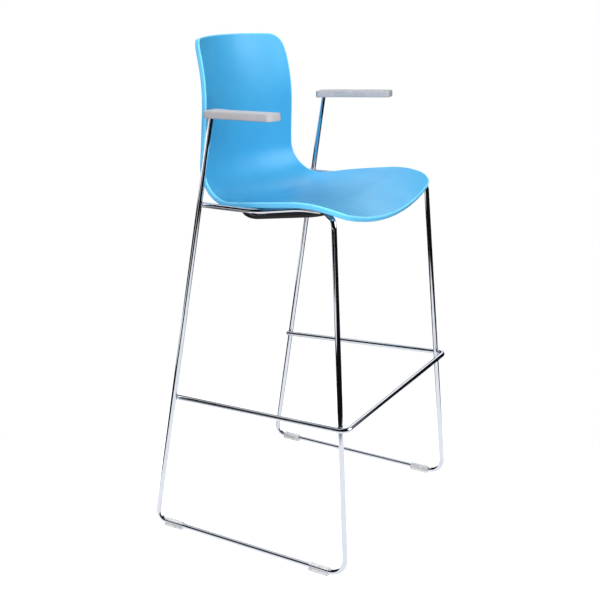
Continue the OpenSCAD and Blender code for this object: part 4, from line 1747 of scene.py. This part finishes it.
@dataclass
class Fasteners:
    """The stool's screws, each kind set out on its points."""

    plan: Plan
    shop: Workshop
    pan_x: float = 108.0
    washer_t: float = 1.2
    pan_low: Flat = (53.0, 25.7)  # place of the pan's lowest edge and its depth below the seat
    pan_slope: float = 8.0
    pan_sink: float = 3.0
    arm_reaches: Flat = (36.0, 90.0)

    def pan_floor(self, y: float) -> float:
        """Finds the outside of the pan's floor.

        Args:
            y: place along the stool.

        Returns:
            The height there.
        """
        low_y, depth = self.pan_low
        rise = (y - low_y) * math.tan(math.radians(self.pan_slope))
        return self.plan.seat_z(0.0, low_y) - depth - rise

    def set_out(self, name: str, screw: Screw, spots: Spots, look: Look, node: str) -> None:
        """Places a set of screws.

        Args:
            name: the piece's name.
            screw: the screw.
            spots: place of each head's face and its turn as Euler angles.
            look: their finish.
            node: the CAD node it stands for.
        """
        pattern = new_object("screw_pattern", screw.mesh())
        points = mesh_of("screw_points", (place for place, _ in spots))
        turns = points.attributes.new(TURN, "FLOAT_VECTOR", "POINT")
        turns.data.foreach_set("vector", [v for _, turn in spots for v in turn])
        mesh = self.shop.grow(self.shop.screw_tree, points, look, {"Screw": pattern})
        bpy.data.objects.remove(pattern)
        self.shop.piece(name, mesh, look, node)

    def level_spots(self, x: float, y: float, z: float) -> Spots:
        """Spots of an upright pair of screws, one on each side."""
        return [(Vector((side * x, y, z)), (0.0, 0.0, 0.0)) for side in (-1, 1)]

    def seat_screws(self) -> None:
        """Builds the screws that hold the shell to the cross plates."""
        plan = self.plan
        screw = Screw(
            Head.PAN, shank_d=6.0, head_d=11.4, head_h=3.3, shank_l=9.4, socket_d=4.0
        )
        spots = []
        for y, drop in plan.plate_rows:
            z = plan.plate_top - drop - plan.plate_t - self.washer_t - screw.head_h
            spots += self.level_spots(plan.seat_screw_x, y, z)
        self.set_out("seat_screw_set", screw, spots, Look.ZINC, "seat_screws")

    def pan_screws(self) -> None:
        """Builds the screws that hold the pan, which are longer at the front than at the rear."""
        for number, (y, drop) in enumerate(self.plan.plate_rows, 1):
            base = self.pan_floor(y) + self.pan_sink
            screw = Screw(
                Head.PAN,
                shank_d=4.0,
                head_d=8.0,
                head_h=2.4,
                shank_l=self.plan.plate_top - drop - base,
                socket_d=2.5,
            )
            spots = self.level_spots(self.pan_x, y, base - screw.head_h)
            name = f"pan_screw_pair_{number}"
            self.set_out(name, screw, spots, Look.BLACK_STEEL, "pan_screws")

    def arm_screws(self) -> None:
        """Builds the countersunk screws of the arm pads."""
        screw = Screw(
            Head.SUNK, shank_d=5.0, head_d=9.0, head_h=2.25, shank_l=7.75, socket_d=2.5
        )
        spots = []
        for side in Side:
            matrix = self.plan.arm_matrix(side)
            turn = (matrix.to_3x3() @ Matrix.Diagonal((side.value, 1.0, 1.0))).to_euler()
            for reach in self.arm_reaches:
                place = matrix @ Vector((0.0, -reach, self.plan.bracket_h))
                spots.append((place, tuple(turn)))
        self.set_out("arm_screw_set", screw, spots, Look.ZINC, "arm_pad_screws")

    def build(self) -> None:
        """Builds the seat, pan and arm screws."""
        self.seat_screws()
        self.pan_screws()
        self.arm_screws()


# ---- parts whose CAD shape is kept


@dataclass(frozen=True)
class KeptShapes:
    """The plates, brackets, pan, glides and small turned parts."""

    shop: Workshop
    rows: tuple[tuple[str, Look, float], ...] = (  # node, finish, width of the rounded edges
        ("front_cross_plate", Look.CHROME, 0.3),
        ("rear_cross_plate", Look.CHROME, 0.3),
        ("left_arm_bracket", Look.CHROME, 0.3),
        ("right_arm_bracket", Look.CHROME, 0.3),
        ("under_seat_pan", Look.PAN, 0.5),
        ("rear_left_glide", Look.GLIDE, 0.4),
        ("rear_right_glide", Look.GLIDE, 0.4),
        ("front_left_glide", Look.GLIDE, 0.4),
        ("front_right_glide", Look.GLIDE, 0.4),
        ("seat_washers", Look.ZINC, 0.15),
        ("seat_inserts", Look.BRASS, 0.15),
    )

    def build(self, nodes: dict[str, bpy.types.Object]) -> None:
        """Dresses a copy of each of the given CAD nodes."""
        for node, look, bevel in self.rows:
            self.shop.dressed_copy(nodes[node], f"{node}_part", look, bevel)


# ---- studio


@dataclass(frozen=True)
class SoftLamp:
    """A square soft lamp, aimed at the stool, that reflections don't see."""

    name: str
    place: Triple
    power: float
    target: Triple = (0.0, 0.0, 0.75)
    size: float = 1.5

    def build(self) -> None:
        """Adds the lamp to the scene."""
        data = bpy.data.lights.new(self.name, "AREA")
        data.shape = "SQUARE"
        data.size = self.size
        data.energy = self.power
        lamp = new_object(self.name, data)
        lamp.location = self.place
        aim = Vector(self.target) - Vector(self.place)
        lamp.rotation_euler = aim.to_track_quat("-Z", "Y").to_euler()
        lamp.visible_glossy = False


@dataclass(frozen=True)
class SoftBox:
    """A bright patch of the surroundings that only reflections see."""

    way: Triple
    start: float  # cosine of the angle from its middle at which it begins
    full: float
    level: float


@dataclass(frozen=True)
class Studio:
    """Camera, lamps, floor and surroundings."""

    camera_place: Triple = (-1.9042, -1.0679, 1.1907)
    azimuth: float = -60.30
    elevation: float = 17.39
    lens: float = 59.68
    sensor: float = 36.0
    lamps: tuple[SoftLamp, ...] = (
        SoftLamp("front_lamp", (-1.52, -2.01, 1.32), 76.0),
        SoftLamp("side_lamp", (-2.11, 1.22, 1.64), 17.0),
        SoftLamp("high_lamp", (-1.06, 0.0, 3.12), 36.0),
        SoftLamp("rear_lamp", (1.0, 1.73, 2.42), 57.0),
    )
    ambient: float = 0.08
    boxes: tuple[SoftBox, ...] = (
        SoftBox((0.807, 0.262, 0.530), 0.90, 0.99, 1.3),
        SoftBox((0.445, -0.772, 0.454), 0.87, 0.98, 3.7),
        SoftBox((0.05, 0.35, 0.93), 0.92, 0.95, 0.8),
    )
    dark: float = 0.006
    floor_half: float = 30.0
    paper: float = 0.45
    glow: float = 0.82
    fade: Flat = (0.45, 0.9)
    bounce: float = 0.42
    pool_middle: Triple = (-0.35, -0.45, 0.0)
    pool_edge: Flat = (0.85, 1.1)
    pool_level: float = 0.95
    leftward: Triple = (-0.495, 0.869, 0.0)
    strip_near: Flat = (1.6, 1.8)
    strip_far: Flat = (2.4, 2.7)
    strip_level: float = 0.9
    horizon: Flat = (7.0, 8.0)
    horizon_level: float = 1.3

    def camera(self) -> None:
        """Adds the camera at the photograph's viewing angle."""
        data = bpy.data.cameras.new("camera")
        data.lens = self.lens
        data.sensor_width = self.sensor
        data.sensor_fit = "HORIZONTAL"
        data.clip_start, data.clip_end = 0.05, 100.0
        camera = new_object("camera", data)
        camera.location = self.camera_place
        pitch, heading = math.radians(90.0 - self.elevation), math.radians(self.azimuth)
        camera.rotation_euler = (pitch, 0.0, heading)
        bpy.context.scene.camera = camera

    def mirrored_floor(self, graph: Graph, place: Any) -> bpy.types.NodeSocket:
        """Sets how bright the floor is in reflections: a pool, a strip and the far side.

        Args:
            graph: the graph round the floor's material.
            place: socket of the place on the floor.

        Returns:
            The level's socket.
        """
        away = graph.measure("DISTANCE", place, self.pool_middle)
        left = graph.measure("DOT_PRODUCT", place, self.leftward)
        pool = graph.ramp(away, *self.pool_edge, self.pool_level, self.dark)
        near = graph.ramp(left, *self.strip_near, self.dark, self.strip_level)
        far = graph.ramp(left, *self.strip_far, self.strip_level, self.dark)
        horizon = graph.ramp(left, *self.horizon, self.dark, self.horizon_level)
        return graph.most(pool, graph.math("MINIMUM", near, far), horizon)

    def floor(self) -> None:
        """Adds a white floor that keeps the stool's shadow and is mostly dark in reflections."""
        signs = ((-1, -1), (1, -1), (1, 1), (-1, 1))
        mesh = bpy.data.meshes.new("floor")
        half = self.floor_half
        mesh.from_pydata([(x * half, y * half, 0.0) for x, y in signs], [], [(0, 1, 2, 3)])
        material = bpy.data.materials.new("floor_paper")
        graph = empty_graph(material)

        def diffuse(level: float) -> bpy.types.NodeSocket:
            """A matt grey."""
            return graph.out("ShaderNodeBsdfDiffuse", {"Color": (level, level, level, 1.0)})

        def shine(level: Any) -> bpy.types.NodeSocket:
            """A white glow."""
            return graph.out("ShaderNodeEmission", {"Color": WHITE, "Strength": level})

        def mix(share: Any, a: Any, b: Any) -> bpy.types.NodeSocket:
            """A share of shader b in shader a."""
            return graph.out("ShaderNodeMixShader", {0: share, 1: a, 2: b})

        rays = graph.add("ShaderNodeLightPath").outputs
        place = graph.place()
        near = graph.out("ShaderNodeAddShader", {0: diffuse(self.paper), 1: shine(self.glow)})
        away = graph.ramp(graph.measure("LENGTH", place), *self.fade)
        mirror = shine(self.mirrored_floor(graph, place))
        other = mix(rays["Is Glossy Ray"], diffuse(self.bounce), mirror)
        seen = graph.most(rays["Is Camera Ray"], rays["Is Transmission Ray"])
        surface = mix(seen, other, mix(away, near, shine(1.0)))
        graph.add("ShaderNodeOutputMaterial", {"Surface": surface})
        mesh.materials.append(material)
        new_object("floor", mesh)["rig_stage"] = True

    def surroundings(self) -> None:
        """Sets the world: white where it is seen, and dark with soft boxes in reflections."""
        world = bpy.data.worlds.new("studio")
        bpy.context.scene.world = world
        graph = empty_graph(world)
        rays = graph.add("ShaderNodeLightPath").outputs
        way = graph.add("ShaderNodeTexCoord").outputs["Generated"]
        levels: list[Any] = []
        for box in self.boxes:
            facing = graph.measure("DOT_PRODUCT", way, tuple(Vector(box.way).normalized()))
            levels.append(graph.ramp(facing, box.start, box.full, 0.0, box.level))
        mirror = graph.math("MULTIPLY", rays["Is Glossy Ray"], graph.most(*levels, self.dark))
        matt = graph.math("SUBTRACT", 1.0, rays["Is Glossy Ray"])
        light = graph.math("MULTIPLY_ADD", matt, self.ambient, mirror)
        strength = graph.most(light, rays["Is Camera Ray"], rays["Is Transmission Ray"])
        sky = graph.out("ShaderNodeBackground", {"Color": WHITE, "Strength": strength})
        graph.add("ShaderNodeOutputWorld", {"Surface": sky})

    def build(self) -> None:
        """Builds the whole studio."""
        bpy.context.scene.view_settings.view_transform = "Standard"
        self.camera()
        for lamp in self.lamps:
            lamp.build()
        self.floor()
        self.surroundings()


def corners() -> list[list[float]]:
    """Lowest and highest corner of the shown object."""
    return [list(corner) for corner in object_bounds()]


def main() -> None:
    """Builds the stool round its frame."""
    logging.basicConfig(level=logging.INFO, format="%(name)s: %(message)s")
    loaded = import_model()
    plan = Plan()
    shop = Workshop()
    frame = BentFrame(plan, shop)
    frame.build()
    Welds(plan, shop, frame).build()
    SeatShell(plan, shop).build()
    ArmPads(plan, shop).build()
    Fasteners(plan, shop).build()
    KeptShapes(shop).build(loaded["nodes"])
    Studio().build()


if __name__ == "__main__":
    main()
